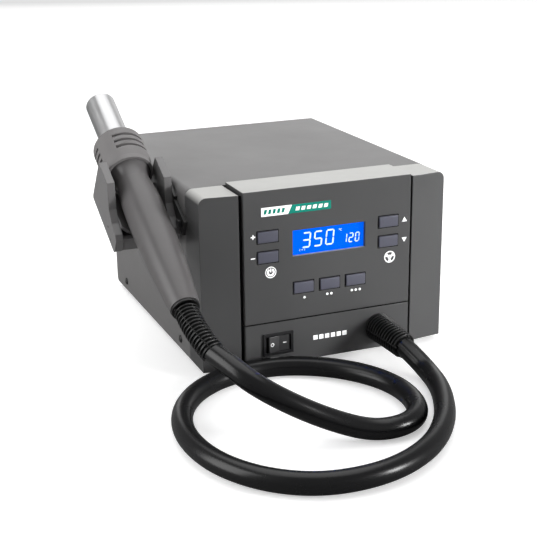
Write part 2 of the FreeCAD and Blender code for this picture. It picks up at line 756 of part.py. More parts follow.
def makeHandleShell():
    """The grip: a belly, a narrow neck and a collar inside the cap, in two halves."""
    wall = d.shellWall
    profile = [
        (8.05, -44.7),
        (9.9, -44.7, (12.9, -8)),
        (13.9, 50, (13.5, 64)),
        (12.3, 77, (12.9, 84)),
        (15.1, 89),
        (15.1, 96.8),
        (13, 96.8),
        (13, 92),
        (10.3, 92),
        (10.3, 77, (11.5, 64)),
        (13.9 - wall, 50, (10.9, -8)),
        (8.05, -36),
    ]
    posts = ((-24, 9.6, 11.6), (46, 12.3, 13.8))
    for label, low in (("handle_shell_upper", -1), ("handle_shell_lower", 0)):
        half = common(turned(profile, label="gripShell"), box((-20, low * 20, -60), (40, 20, 170)))
        pieces = [rod((0, low * deep, z), rearwards, 3.4, deep, "post") for z, deep, skin in posts]
        holes = [rod((0, -4.5, z), rearwards, 1.6, 30) for z, deep, skin in posts]
        if not low:
            holes += [rod((0, skin - 1.9, z), rearwards, 2.6, 4) for z, deep, skin in posts]
        node(alongAxis(cut(fuse(half, *pieces), *holes)), label)
    screws = []
    for z, deep, skin in posts:
        shank = rod((0, -4, z), rearwards, 1.5, skin + 2.2)
        screws.append(fuse(shank, rod((0, skin - 1.9, z), rearwards, 2.4, 1.6)))
    node(alongAxis(group(screws)), "handle_screws")


def makeCap():
    """The vented cap, with three groups of three slots."""
    rim, wide, wall = d.capRim, d.capRadius, d.shellWall
    cap = turned(
        [
            (rim - wall, 88.3),
            (rim, 88.3),
            (rim, 92.5),
            (wide, 98.5),
            (wide, 119, (wide - 1.5, 122.6)),
            (wide - 5, 124),
            (11.6, 124),
            (11.6, 122),
            (wide - 6, 122),
            (wide - wall, 118),
            (wide - wall, 98.5),
            (rim - wall, 93),
        ],
        label="capShell",
    )
    slots = []
    for turn in (-77, 43, 163):
        for z in (100, 106, 112):
            slot = box((0, 0, 0), (30, 22.8, 2.6))
            swing = Rotation(upright, turn)
            slots.append(place(slot, tuple(swing.multVec(Vector(0, -11.4, z))), swing))
    node(alongAxis(cut(cap, *slots)), "handle_nose")


def makeHeater():
    wide, thin, tip = d.barrelRadius, d.barrelWall, d.barrelEnd
    barrel = turned(
        [
            (wide - thin, 97.2),
            (16, 97.2),
            (16, 98.2),
            (wide - 0.2, 98.2),
            (wide - 0.2, d.seatStart),
            (wide, d.seatStart),
            (wide, tip),
            (wide - thin, tip),
        ],
        label="barrelTube",
    )
    node(alongAxis(barrel), "heater_barrel")
    sleeve = turned([(9.6, 100), (10.3, 100), (10.3, 164), (9.6, 164)], label="sleeve")
    node(alongAxis(sleeve), "mica_tube")
    arms = [boxRound((0, 0, 130), (17, 1.6, 60)), boxRound((0, 0, 130), (1.6, 17, 60))]
    node(alongAxis(fuse(*arms)), "heater_core")
    turns = []
    for k in range(9):
        ring = doc.addObject("Part::Torus", "turn")
        ring.Radius1 = 8.8
        ring.Radius2 = 0.45
        turns.append(place(ring, (0, 0, 104 + 6 * k)))
    core = doc.copyObject(arms[0], False)
    node(alongAxis(cut(group(turns), fuse(core, doc.copyObject(arms[1], False)))), "heater_coil")
    node(alongAxis(rod((3.5, 3.5, 96), upright, 0.8, 68)), "thermocouple")
    seal = turned([(8.05, -46.6), (9.4, -46.6), (9.4, -44.8), (8.05, -44.8)], label="seal")
    node(alongAxis(seal), "handle_tail_ring")


# ---------------------------------------------------------------- boots and hose


# The hose's route from the station to the handle, in the row frame. The first and last points are
# the mouths of the two boots.
hoseRoute = [
    (66.7, -111.6, 16.4),
    (69.0, -124.5, 12.4),
    (71.0, -139.5, 7.0),
    (66.5, -161.0, 7.0),
    (57.5, -184.5, 7.0),
    (42.5, -212.0, 7.0),
    (20.0, -237.5, 7.0),
    (-8.5, -254.5, 7.0),
    (-38.0, -260.5, 7.0),
    (-67.5, -256.0, 7.0),
    (-92.0, -238.5, 7.0),
    (-108.5, -212.0, 7.0),
    (-115.0, -182.0, 7.0),
    (-113.0, -152.5, 7.0),
    (-102.0, -125.0, 7.0),
    (-82.0, -102.0, 7.0),
    (-53.5, -88.0, 7.0),
    (-21.0, -87.0, 7.0),
    (8.0, -101.0, 7.0),
    (29.0, -123.5, 7.0),
    (40.0, -150.5, 7.0),
    (39.5, -177.5, 7.0),
    (31.0, -198.5, 7.0),
    (13.5, -209.0, 7.0),
    (-7.5, -206.5, 7.0),
    (-32.5, -198.5, 16.0),
    (-57.0, -193.5, 29.5),
    (-76.5, -184.0, 42.0),
    (-85.4, -167.0, 49.8),
    (-90.4, -151.1, 52.5),
]


def unit(a, b):
    return (b - a).normalize()


def hosePath():
    """Straight runs joined by tangent arcs, with the radius of each arc."""
    points = [Vector(*p) for p in hoseRoute]
    edges, radii, at = [], [], points[0]
    for before, corner, after in zip(points, points[1:], points[2:]):
        come, go = unit(before, corner), unit(corner, after)
        turn = come.getAngle(go)
        reach = 0.45 * min(before.distanceToPoint(corner), corner.distanceToPoint(after))
        radius = reach / math.tan(turn / 2)
        start, stop = corner - come * reach, corner + go * reach
        inward = (go - come).normalize()
        middle = corner + inward * (radius / math.cos(turn / 2) - radius)
        edges.append(Part.LineSegment(at, start).toShape())
        edges.append(Part.Arc(start, middle, stop).toShape())
        radii.append(radius)
        at = stop
    edges.append(Part.LineSegment(at, points[-1]).toShape())
    return Part.Wire(edges), radii


def makeHose():
    path, radii = hosePath()
    size = d.hoseDiameter.number / 2
    first = unit(Vector(*hoseRoute[0]), Vector(*hoseRoute[1]))
    ring = Part.Wire([Part.makeCircle(size, Vector(*hoseRoute[0]), first)])
    tube = path.makePipeShell([ring], True, False)
    hose = doc.addObject("Part::Feature", "hoseTube")
    hose.Shape = tube
    node(hose, "air_hose")
    ideal = math.pi * size * size * path.Length
    print(f"hose {path.Length:.1f} mm, volume {tube.Volume / ideal:.4f} of section times length")
    print("radii", " ".join(f"{r:.0f}" for r in radii))


def makeBoot(label, root, out, ends, rootRadius, back, collar):
    """A tapered boot: a straight root along out, then a cone that bends away to the mouth."""
    start = Vector(*[numberOf(c) for c in root])
    mouth, onward = [Vector(*point) for point in ends]
    lean = mouth - start
    cone = doc.addObject("Part::Cone", "bootCone")
    bind(cone, "Radius1", rootRadius)
    bind(cone, "Radius2", d.mouthRadius)
    cone.Height = lean.Length + 3
    cone.Placement = Placement(start, Rotation(upright, lean))
    behind = start - out * back
    stub = rod(tuple(behind), out, rootRadius, back + 1.6)
    ring = rod(tuple(start - out * collar[0]), out, collar[1], collar[2])
    ways = [
        rod(tuple(start - out * (back + 1)), out, d.airBore, back + 1),
        rod(tuple(start - lean.normalize() * 1), lean, d.airBore, cone.Height.Value + 3),
        rod(tuple(mouth), onward - mouth, 12, 8),
    ]
    ball = doc.addObject("Part::Sphere", "turnWay")
    bind(ball, "Radius", d.airBore)
    ball.Placement = Placement(start, Rotation())
    node(cut(fuse(cone, stub, ring), *ways, ball), label)


def makeBoots():
    front = spot(d.outletX, -d.panelProud, d.outletZ)
    makeBoot(
        "hose_boot", front, Vector(0, -1, 0), hoseRoute[:2], d.outletRadius, 8.1, (4.6, 12.4, 1.9)
    )
    slope = math.radians(d.slope.number)
    out = Vector(0, -math.cos(slope), -math.sin(slope))
    origin = Vector(*[numberOf(c) for c in spot(d.axisX, 0, d.axisZ)])
    tail = origin + out * 47
    makeBoot("handle_boot", tuple(tail), out, hoseRoute[:-3:-1], 8, 17, (16.9, 8.5, 1.6))


makeTopCover()
makeBasePan()
makeRearPanel()
makeBezel()
makeControlPanel()
makeLowerPanel()
makeKeys()
makeDisplay()
makeBadge()
makeSwitch()
makeElectronics()
makeBlower()
makeInlet()
makeFasteners()
makeFork()
makeHandleShell()
makeCap()
makeHeater()
makeBoots()
makeHose()

doc.recompute()
faults = [thing.Label for thing in doc.Objects if {"Invalid", "Error"} & set(thing.State)]
faults += [part.Label for part in subParts if part.Shape.isNull() or not part.Shape.isValid()]
if faults:
    raise SystemExit(f"failed: {faults}")
for part in subParts:
    part.Shape.exportStep(f"parts/{part.Label}.step")
print(len(subParts), "sub-parts written")
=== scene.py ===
import bpy
import bmesh
import math
from mathutils import Matrix, Vector
from mathutils.bvhtree import BVHTree


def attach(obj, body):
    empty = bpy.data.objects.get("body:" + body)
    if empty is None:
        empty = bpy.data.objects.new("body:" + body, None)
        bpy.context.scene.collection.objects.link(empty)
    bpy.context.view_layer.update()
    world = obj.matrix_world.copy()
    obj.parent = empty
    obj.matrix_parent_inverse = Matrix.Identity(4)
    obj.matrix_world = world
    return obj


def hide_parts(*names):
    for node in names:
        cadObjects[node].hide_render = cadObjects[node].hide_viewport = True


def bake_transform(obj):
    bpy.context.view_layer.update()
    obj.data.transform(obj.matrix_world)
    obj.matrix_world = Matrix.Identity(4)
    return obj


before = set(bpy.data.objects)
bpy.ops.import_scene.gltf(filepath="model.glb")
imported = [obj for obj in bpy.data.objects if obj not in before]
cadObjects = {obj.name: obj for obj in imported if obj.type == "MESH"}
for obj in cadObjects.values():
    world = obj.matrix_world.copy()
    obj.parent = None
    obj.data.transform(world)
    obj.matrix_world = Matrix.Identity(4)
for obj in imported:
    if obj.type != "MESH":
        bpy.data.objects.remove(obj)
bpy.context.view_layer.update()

scene = bpy.context.scene

# the case's own coordinates in millimetres: x from its middle, y from its front, z from its underside
caseFrame = {
    "middle": 0.0237,
    "front": -0.0764,
    "feet": 0.004,
    "handleX": -119.5,
    "handleZ": 87.5,
    "handleRise": 27.4,
    "panelProud": 1.9,
}


def spot(x, y, z):
    middle, front, feet = (caseFrame[key] for key in ("middle", "front", "feet"))
    return Vector((middle + x / 1000, front + y / 1000, feet + z / 1000))


# a point beside the handle: along its axis, x to the side and up away from the bench
def onHandle(along, x=0.0, up=0.0):
    rise = math.radians(caseFrame["handleRise"])
    y = along * math.cos(rise) - up * math.sin(rise)
    z = along * math.sin(rise) + up * math.cos(rise)
    return spot(caseFrame["handleX"] + x, y, caseFrame["handleZ"] + z)


# mesh helpers

def newPiece(name, mesh, material=None):
    piece = bpy.data.objects.new(name, mesh)
    scene.collection.objects.link(piece)
    if material:
        mesh.materials.clear()
        mesh.materials.append(material)
    return piece


def meshFrom(name, form, smooth=40):
    bmesh.ops.recalc_face_normals(form, faces=form.faces)
    mesh = bpy.data.meshes.new(name)
    form.to_mesh(mesh)
    form.free()
    if smooth:
        mesh.shade_smooth()
        mesh.set_sharp_from_angle(angle=math.radians(smooth))
    return mesh


def bakeModifiers(piece):
    bpy.context.view_layer.update()
    made = piece.evaluated_get(bpy.context.evaluated_depsgraph_get())
    mesh = bpy.data.meshes.new_from_object(made, depsgraph=bpy.context.evaluated_depsgraph_get())
    piece.modifiers.clear()
    piece.data = mesh
    return piece


def roundEdges(piece, width, segments=3, angle=30):
    edge = piece.modifiers.new("rounding", "BEVEL")
    edge.width = width / 1000
    edge.segments = segments
    edge.limit_method = "ANGLE"
    edge.angle_limit = math.radians(angle)
    edge.harden_normals = True
    return bakeModifiers(piece)


def settle(piece, body, replaced=()):
    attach(piece, body)
    if replaced:
        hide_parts(*replaced)
    return piece


# camera

camera = {
    "azimuth": -21.96,
    "elevation": 18.40,
    "roll": -0.79,
    "lens": 77.55,
    "place": (-0.31303, -0.79898, 0.3305),
}


def makeCamera():
    data = bpy.data.cameras.new("viewCamera")
    data.sensor_width = 36
    data.lens = camera["lens"]
    data.clip_start = 0.02
    data.clip_end = 20
    data.dof.use_dof = False
    a, e, r = (math.radians(camera[k]) for k in ("azimuth", "elevation", "roll"))
    back = Vector((math.sin(a) * math.cos(e), -math.cos(a) * math.cos(e), math.sin(e)))
    right = Vector((math.cos(a), math.sin(a), 0))
    up = back.cross(right)
    sideways = right * math.cos(r) + up * math.sin(r)
    upwards = up * math.cos(r) - right * math.sin(r)
    turn = Matrix((sideways, upwards, back)).transposed().to_4x4()
    view = bpy.data.objects.new("viewCamera", data)
    view.matrix_world = Matrix.Translation(camera["place"]) @ turn
    scene.collection.objects.link(view)
    scene.camera = view


makeCamera()
print("camera placed")

# shader groups shared by the materials


def newGroup(name, inputs, outputs):
    group = bpy.data.node_groups.new(name, "ShaderNodeTree")
    for label, kind, value in inputs:
        socket = group.interface.new_socket(name=label, in_out="INPUT", socket_type="NodeSocket" + kind)
        if value is not None:
            socket.default_value = value
    for label, kind in outputs:
        group.interface.new_socket(name=label, in_out="OUTPUT", socket_type="NodeSocket" + kind)
    nodes = group.nodes
    return group, nodes.new("NodeGroupInput"), nodes.new("NodeGroupOutput")


def addNode(tree, kind, values=None, **settings):
    made = tree.nodes.new("ShaderNode" + kind)
    for key, value in settings.items():
        setattr(made, key, value)
    for key, value in (values or {}).items():
        made.inputs[key].default_value = value
    return made


def join(tree, source, target):
    tree.links.new(source, target)


# fine grain of powder paint or a moulded skin: a height and a gentle change of shade
def makeGrainGroup():
    group, given, result = newGroup(
        "surfaceGrain",
        [
            ("Fine Scale", "Float", 900.0), ("Broad Scale", "Float", 14.0),
            ("Fine Share", "Float", 0.7), ("Shade", "Float", 0.1),
        ],
        [("Height", "Float"), ("Shade", "Float")],
    )
    where = addNode(group, "TexCoord")
    fine = addNode(group, "TexNoise", {"Detail": 3.0, "Roughness": 0.6})
    cells = addNode(group, "TexVoronoi")
    broad = addNode(group, "TexNoise", {"Detail": 4.0, "Roughness": 0.55})
    for texture, scale in ((fine, "Fine Scale"), (cells, "Fine Scale"), (broad, "Broad Scale")):
        join(group, where.outputs["Object"], texture.inputs["Vector"])
        join(group, given.outputs[scale], texture.inputs["Scale"])
    blendHeight = addNode(group, "Mix", data_type="FLOAT")
    join(group, given.outputs["Fine Share"], blendHeight.inputs[0])
    join(group, cells.outputs["Distance"], blendHeight.inputs[2])
    join(group, fine.outputs["Fac"], blendHeight.inputs[3])
    join(group, blendHeight.outputs[0], result.inputs["Height"])
    swing = addNode(group, "MapRange", {"From Min": 0.25, "From Max": 0.75})
    join(group, broad.outputs["Fac"], swing.inputs["Value"])
    low = addNode(group, "Math", {0: 1.0}, operation="SUBTRACT")
    high = addNode(group, "Math", {0: 1.0}, operation="ADD")
    for limit, end in ((low, "To Min"), (high, "To Max")):
        join(group, given.outputs["Shade"], limit.inputs[1])
        join(group, limit.outputs[0], swing.inputs[end])
    join(group, swing.outputs[0], result.inputs["Shade"])
    return group


# edges: where the rounded normal leaves the flat one, broken up by noise; the surfaces paint this mask
# paler, as painted highlight on the edges and as wear
def makeEdgeGroup():
    group, given, result = newGroup(
        "edgeWearAndHighlight",
        [("Radius", "Float", 0.0006), ("Strength", "Float", 6.0), ("Break Up", "Float", 0.4)],
        [("Mask", "Float"), ("Normal", "Vector")],
    )
    soft = addNode(group, "Bevel", samples=6)
    join(group, given.outputs["Radius"], soft.inputs["Radius"])
    flat = addNode(group, "NewGeometry")
    dot = addNode(group, "VectorMath", operation="DOT_PRODUCT")
    join(group, soft.outputs[0], dot.inputs[0])
    join(group, flat.outputs["Normal"], dot.inputs[1])
    turnAway = addNode(group, "Math", {0: 1.0}, operation="SUBTRACT")
    join(group, dot.outputs["Value"], turnAway.inputs[1])
    strong = addNode(group, "Math", operation="MULTIPLY", use_clamp=True)
    join(group, turnAway.outputs[0], strong.inputs[0])
    join(group, given.outputs["Strength"], strong.inputs[1])
    where = addNode(group, "TexCoord")
    noise = addNode(group, "TexNoise", {"Scale": 120.0, "Detail": 3.0})
    join(group, where.outputs["Object"], noise.inputs["Vector"])
    broken = addNode(group, "MapRange", {"From Min": 0.35, "From Max": 0.65, "To Max": 1.0})
    join(group, noise.outputs["Fac"], broken.inputs["Value"])
    least = addNode(group, "Math", {0: 1.0}, operation="SUBTRACT")
    join(group, given.outputs["Break Up"], least.inputs[1])
    join(group, least.outputs[0], broken.inputs["To Min"])
    mask = addNode(group, "Math", operation="MULTIPLY")
    join(group, strong.outputs[0], mask.inputs[0])
    join(group, broken.outputs[0], mask.inputs[1])
    join(group, mask.outputs[0], result.inputs["Mask"])
    join(group, soft.outputs[0], result.inputs["Normal"])
    return group


# long fine streaks, along one axis or round it
def makeStreakGroup():
    group, given, result = newGroup(
        "brushedStreaks",
        [("Stretch", "Vector", (900.0, 900.0, 12.0)), ("Turn", "Vector", (0.0, 0.0, 0.0))],
        [("Streak", "Float")],
    )
    where = addNode(group, "TexCoord")
    lay = addNode(group, "Mapping", vector_type="POINT")
    join(group, where.outputs["Object"], lay.inputs["Vector"])
    join(group, given.outputs["Turn"], lay.inputs["Rotation"])
    stretch = addNode(group, "VectorMath", operation="MULTIPLY")
    join(group, lay.outputs[0], stretch.inputs[0])
    join(group, given.outputs["Stretch"], stretch.inputs[1])
    noise = addNode(group, "TexNoise", {"Scale": 1.0, "Detail": 4.0, "Roughness": 0.7})
    join(group, stretch.outputs[0], noise.inputs["Vector"])
    join(group, noise.outputs["Fac"], result.inputs["Streak"])
    return group


# a thin veil of dust on what faces up; on the front moulding it is heavy and even, and there it is painted
# light that makes the up-facing faces pale grey
def makeDustAndTopLightGroup():
    group, given, result = newGroup(
        "dustAndTopLightVeil",
        [("Amount", "Float", 0.1), ("Scale", "Float", 60.0), ("Evenness", "Float", 0.0)],
        [("Mask", "Float")],
    )
    flat = addNode(group, "NewGeometry")
    parts = addNode(group, "SeparateXYZ")
    join(group, flat.outputs["Normal"], parts.inputs[0])
    facing = addNode(group, "MapRange", {"From Min": 0.2, "From Max": 1.0})
    join(group, parts.outputs["Z"], facing.inputs["Value"])
    where = addNode(group, "TexCoord")
    noise = addNode(group, "TexNoise", {"Detail": 6.0, "Roughness": 0.75})
    join(group, where.outputs["Object"], noise.inputs["Vector"])
    join(group, given.outputs["Scale"], noise.inputs["Scale"])
    patches = addNode(group, "MapRange", {"From Min": 0.4, "From Max": 0.8})
    join(group, noise.outputs["Fac"], patches.inputs["Value"])
    join(group, given.outputs["Evenness"], patches.inputs["To Min"])
    both = addNode(group, "Math", operation="MULTIPLY")
    join(group, facing.outputs[0], both.inputs[0])
    join(group, patches.outputs[0], both.inputs[1])
    amount = addNode(group, "Math", operation="MULTIPLY")
    join(group, both.outputs[0], amount.inputs[0])
    join(group, given.outputs["Amount"], amount.inputs[1])
    join(group, amount.outputs[0], result.inputs["Mask"])
    return group


sharedGroups = {
    "grain": makeGrainGroup(),
    "edge": makeEdgeGroup(),
    "streak": makeStreakGroup(),
    "dustAndTopLight": makeDustAndTopLightGroup(),
}
print("shader groups built")

# materials


def useGroup(tree, key, values):
    made = tree.nodes.new("ShaderNodeGroup")
    made.node_tree = sharedGroups[key]
    for name, value in values.items():
        made.inputs[name].default_value = value
    return made


# what a finish has where its own entry says nothing
plainLook = {
    "metal": 0.0, "ior": 1.5, "shine": 0.5, "fine": 900.0, "broad": 14.0, "share": 0.7, "shade": 0.06,
    "edge": 0.0005, "edgeStrength": 3.0, "edgeAmount": 0.35, "dustAndTopLight": 0.02, "even": 0.0,
    "dustAndTopLightColour": (0.5, 0.49, 0.47), "spread": 0.06, "bump": 0.15, "depth": 0.00006,
}


# lays one colour over another by a mask and gives back the mixed colour
def layOver(tree, under, mask, colour):
    mixed = addNode(tree, "Mix", {7: (*colour, 1)}, data_type="RGBA")
    join(tree, mask, mixed.inputs[0])
    join(tree, under, mixed.inputs[6])
    return mixed.outputs[2]


# the edge mask made weaker, so that only part of the paler colour (painted highlight and wear) shows
def weaken(tree, mask, amount):
    scaled = addNode(tree, "Math", {1: amount}, operation="MULTIPLY", use_clamp=True)
    join(tree, mask, scaled.inputs[0])
    return scaled.outputs[0]


def newMaterial(name):
    material = bpy.data.materials.new(name)
    material.use_nodes = True
    return material, material.node_tree, material.node_tree.nodes["Principled BSDF"]


# paint, plastic or rubber: a colour that the grain shades, edges painted paler as painted highlight and
# wear, a fine bump
def makeSurface(name, look):
    material, tree, shader = newMaterial(name)
    look = {**plainLook, **look}
    shader.inputs["Metallic"].default_value = look["metal"]
    shader.inputs["IOR"].default_value = look["ior"]
    shader.inputs["Specular IOR Level"].default_value = look["shine"]
    if "coat" in look:
        shader.inputs["Coat Weight"].default_value = look["coat"]
        shader.inputs["Coat Roughness"].default_value = 0.2
    grain = useGroup(tree, "grain", {
        "Fine Scale": look["fine"], "Broad Scale": look["broad"],
        "Fine Share": look["share"], "Shade": look["shade"],
    })
    shaded = addNode(tree, "Mix", {0: 1.0, 6: (*look["colour"], 1)}, data_type="RGBA", blend_type="MULTIPLY")
    join(tree, grain.outputs["Shade"], shaded.inputs[7])
    edge = useGroup(tree, "edge", {"Radius": look["edge"], "Strength": look["edgeStrength"]})
    pale = [min(1, c * 1.8 + 0.02) for c in look["colour"]]
    edged = layOver(tree, shaded.outputs[2], weaken(tree, edge.outputs["Mask"], look["edgeAmount"]), pale)
    # dust on up-facing faces, which on the front moulding is painted light from above
    dustAndTopLight = useGroup(tree, "dustAndTopLight", {"Amount": look["dustAndTopLight"], "Evenness": look["even"]})
    join(tree, layOver(tree, edged, dustAndTopLight.outputs[0], look["dustAndTopLightColour"]), shader.inputs["Base Color"])
    rough = addNode(tree, "MapRange", {
        "From Min": 1 - look["shade"], "From Max": 1 + look["shade"],
        "To Min": look["rough"] - look["spread"], "To Max": look["rough"] + look["spread"],
    })
    join(tree, grain.outputs["Shade"], rough.inputs["Value"])
    join(tree, rough.outputs[0], shader.inputs["Roughness"])
    bump = addNode(tree, "Bump", {"Strength": look["bump"], "Distance": look["depth"]})
    join(tree, grain.outputs["Height"], bump.inputs["Height"])
    join(tree, edge.outputs["Normal"], bump.inputs["Normal"])
    join(tree, bump.outputs[0], shader.inputs["Normal"])
    return material


plainMetal = {
    "stretch": (500.0, 500.0, 500.0), "turn": (0.0, 0.0, 0.0), "low": 0.85,
    "edge": 0.0003, "edgeAmount": 0.3, "bump": 0.08,
}


# bare metal with streaks in its roughness and colour, and edges painted paler as painted highlight and wear
def makeMetal(name, look):
    material, tree, shader = newMaterial(name)
    look = {**plainMetal, **look}
    shader.inputs["Metallic"].default_value = 1.0
    streak = useGroup(tree, "streak", {"Stretch": look["stretch"], "Turn": look["turn"]})
    dark = [c * look["low"] for c in look["colour"]]
    ramp = addNode(tree, "Mix", {6: (*dark, 1), 7: (*look["colour"], 1)}, data_type="RGBA")
    join(tree, streak.outputs[0], ramp.inputs[0])
    edge = useGroup(tree, "edge", {"Radius": look["edge"], "Strength": 3.0})
    edgeHighlightAndWear = weaken(tree, edge.outputs["Mask"], look["edgeAmount"])
    join(tree, layOver(tree, ramp.outputs[2], edgeHighlightAndWear, (0.9, 0.9, 0.9)), shader.inputs["Base Color"])
    rough = addNode(tree, "MapRange", {
        "From Min": 0.3, "From Max": 0.7, "To Min": look["rough"] * 0.75, "To Max": look["rough"] * 1.3,
    })
    join(tree, streak.outputs[0], rough.inputs["Value"])
    join(tree, rough.outputs[0], shader.inputs["Roughness"])
    bump = addNode(tree, "Bump", {"Strength": look["bump"], "Distance": 0.00003})
    join(tree, streak.outputs[0], bump.inputs["Height"])
    join(tree, edge.outputs["Normal"], bump.inputs["Normal"])
    join(tree, bump.outputs[0], shader.inputs["Normal"])
    return material


# a surface that also gives off its own light: the backlit display, and painted glow on the white print and
# badge
def makeGlow(name, look):
    material = makeSurface(name, look)
    shader = material.node_tree.nodes["Principled BSDF"]
    shader.inputs["Emission Strength"].default_value = look["glow"]
    shader.inputs["Emission Color"].default_value = (*look["light"], 1)
    return material


def makeClear(name, look):
    material, tree, shader = newMaterial(name)
    shader.inputs["Base Color"].default_value = (*look["colour"], 1)
    shader.inputs["Transmission Weight"].default_value = 1.0
    shader.inputs["IOR"].default_value = look["ior"]
    haze = addNode(tree, "TexNoise", {"Scale": 90.0, "Detail": 4.0})
    where = addNode(tree, "TexCoord")
    join(tree, where.outputs["Object"], haze.inputs["Vector"])
    rough = addNode(tree, "MapRange", {"To Min": 0.0, "To Max": look["rough"]})
    join(tree, haze.outputs["Fac"], rough.inputs["Value"])
    join(tree, rough.outputs[0], shader.inputs["Roughness"])
    return material


finishes = {
    "casePaint": {
        "colour": (0.125, 0.122, 0.122), "rough": 0.42, "fine": 1500.0, "bump": 0.22,
        "depth": 0.00005, "shade": 0.05, "edge": 0.0006, "dustAndTopLight": 0.03,
    },
    # its up-facing faces are painted pale grey through the dust mask: painted light from above
    "frontMoulding": {
        "colour": (0.054, 0.054, 0.055), "rough": 0.34, "fine": 1900.0, "bump": 0.14,
        "depth": 0.00004, "shade": 0.04, "edge": 0.0008, "edgeStrength": 4.0, "dustAndTopLight": 0.85,
        "even": 0.9, "dustAndTopLightColour": (0.5, 0.5, 0.48),
    },
    "keyPlastic": {
        "colour": (0.072, 0.073, 0.098), "rough": 0.34, "fine": 1500.0, "bump": 0.08,
        "edge": 0.0004,
    },
    "rubberBlack": {
        "colour": (0.007, 0.007, 0.007), "shine": 0.4, "rough": 0.34, "fine": 700.0, "bump": 0.1,
        "shade": 0.12, "edge": 0.0005, "dustAndTopLight": 0.008,
    },
    "hoseSkin": {
        "colour": (0.004, 0.004, 0.0045), "shine": 0.36, "rough": 0.27, "fine": 420.0,
        "bump": 0.05, "shade": 0.15, "dustAndTopLight": 0.004, "edgeAmount": 0.0,
    },
    "handleSkin": {
        "colour": (0.083, 0.079, 0.08), "rough": 0.38, "fine": 1300.0, "bump": 0.14, "shade": 0.05,
        "edge": 0.0004,
    },
    "capSkin": {
        "colour": (0.15, 0.144, 0.144), "rough": 0.55, "fine": 1500.0, "bump": 0.3,
        "depth": 0.00008, "shade": 0.05, "edge": 0.0005,
    },
    # the fork's strong pale edges are mostly painted highlight
    "forkSkin": {
        "colour": (0.125, 0.122, 0.123), "rough": 0.34, "fine": 1200.0, "bump": 0.16,
        "edge": 0.0007, "edgeAmount": 0.55, "edgeStrength": 5.0,
    },
    "shinyBlack": {
        "colour": (0.012, 0.012, 0.013), "rough": 0.24, "fine": 800.0, "bump": 0.04,
        "edge": 0.0005,
    },
    "insideBlack": {
        "colour": (0.02, 0.02, 0.02), "rough": 0.5, "fine": 800.0, "bump": 0.1, "edge": 0.0004,
    },
    # painted shade: the black of the strips laid in gaps, round the keys and behind the cap's slots
    "gapShadeBlack": {
        "colour": (0.004, 0.004, 0.004), "shine": 0.1, "rough": 0.7, "bump": 0.05,
        "edgeAmount": 0.0, "dustAndTopLight": 0.0,
    },
    "rockerSkin": {
        "colour": (0.022, 0.022, 0.023), "rough": 0.36, "fine": 900.0, "bump": 0.05,
        "edge": 0.0005, "dustAndTopLight": 0.01,
    },
    "boardGreen": {
        "colour": (0.01, 0.12, 0.045), "rough": 0.3, "fine": 300.0, "bump": 0.1, "shade": 0.15,
    },
    "badgeGreen": {"colour": (0.0, 0.22, 0.16), "rough": 0.25, "bump": 0.03, "edgeAmount": 0.0},
    "ceramicBody": {
        "colour": (0.78, 0.74, 0.66), "rough": 0.75, "fine": 600.0, "bump": 0.3, "shade": 0.08,
    },
    "micaSheet": {
        "colour": (0.42, 0.32, 0.18), "rough": 0.4, "fine": 500.0, "shade": 0.2, "coat": 0.3,
    },
}
metals = {
    "barrelSteel": {
        "colour": (0.56, 0.56, 0.565), "rough": 0.35, "stretch": (1400.0, 25.0, 1400.0),
        "low": 0.9, "turn": (math.radians(-27.4), 0.0, 0.0), "bump": 0.05,
    },
    "zincSteel": {"colour": (0.6, 0.6, 0.59), "rough": 0.34},
    "screwBlack": {"colour": (0.05, 0.05, 0.05), "rough": 0.4},
    "brassPlain": {"colour": (0.72, 0.52, 0.22), "rough": 0.3},
    "castAluminium": {"colour": (0.72, 0.73, 0.74), "rough": 0.38, "stretch": (20.0, 900.0, 900.0)},
    "coreSheets": {
        "colour": (0.2, 0.2, 0.21), "rough": 0.5, "stretch": (900.0, 20.0, 20.0), "low": 0.5,
        "bump": 0.3,
    },
    "copperWire": {
        "colour": (0.6, 0.24, 0.1), "rough": 0.3, "stretch": (30.0, 30.0, 900.0), "low": 0.6,
        "bump": 0.25,
    },
}
# the white print and badge glow as painted light; the display's field and digits are lit from behind
glows = {
    "whiteInkPaintedGlow": {
        "colour": (0.9, 0.9, 0.9), "rough": 0.5, "light": (1.0, 1.0, 1.0), "glow": 0.25,
        "bump": 0.05,
    },
    "badgeWhitePaintedGlow": {
        "colour": (0.9, 0.91, 0.91), "rough": 0.3, "light": (1.0, 1.0, 1.0), "glow": 0.3,
        "bump": 0.03,
    },
    "displayBlue": {
        "colour": (0.0, 0.03, 0.5), "rough": 0.4, "light": (0.0, 0.14, 0.95), "glow": 0.9,
        "shine": 0.0,
    },
    "digitWhite": {
        "colour": (0.9, 0.95, 1.0), "rough": 0.4, "light": (0.7, 0.95, 1.0), "glow": 0.85,
    },
}
clears = {
    "windowClear": {"colour": (1.0, 1.0, 1.0), "rough": 0.04, "ior": 1.12},
    "fuseGlass": {"colour": (0.95, 1.0, 1.0), "rough": 0.03, "ior": 1.45},
}
materials = {name: makeSurface(name, look) for name, look in finishes.items()}
materials.update({name: makeMetal(name, look) for name, look in metals.items()})
for name, look in glows.items():
    materials[name] = makeGlow(name, {**look, "edgeAmount": 0.0, "dustAndTopLight": 0.0})
materials.update({name: makeClear(name, look) for name, look in clears.items()})

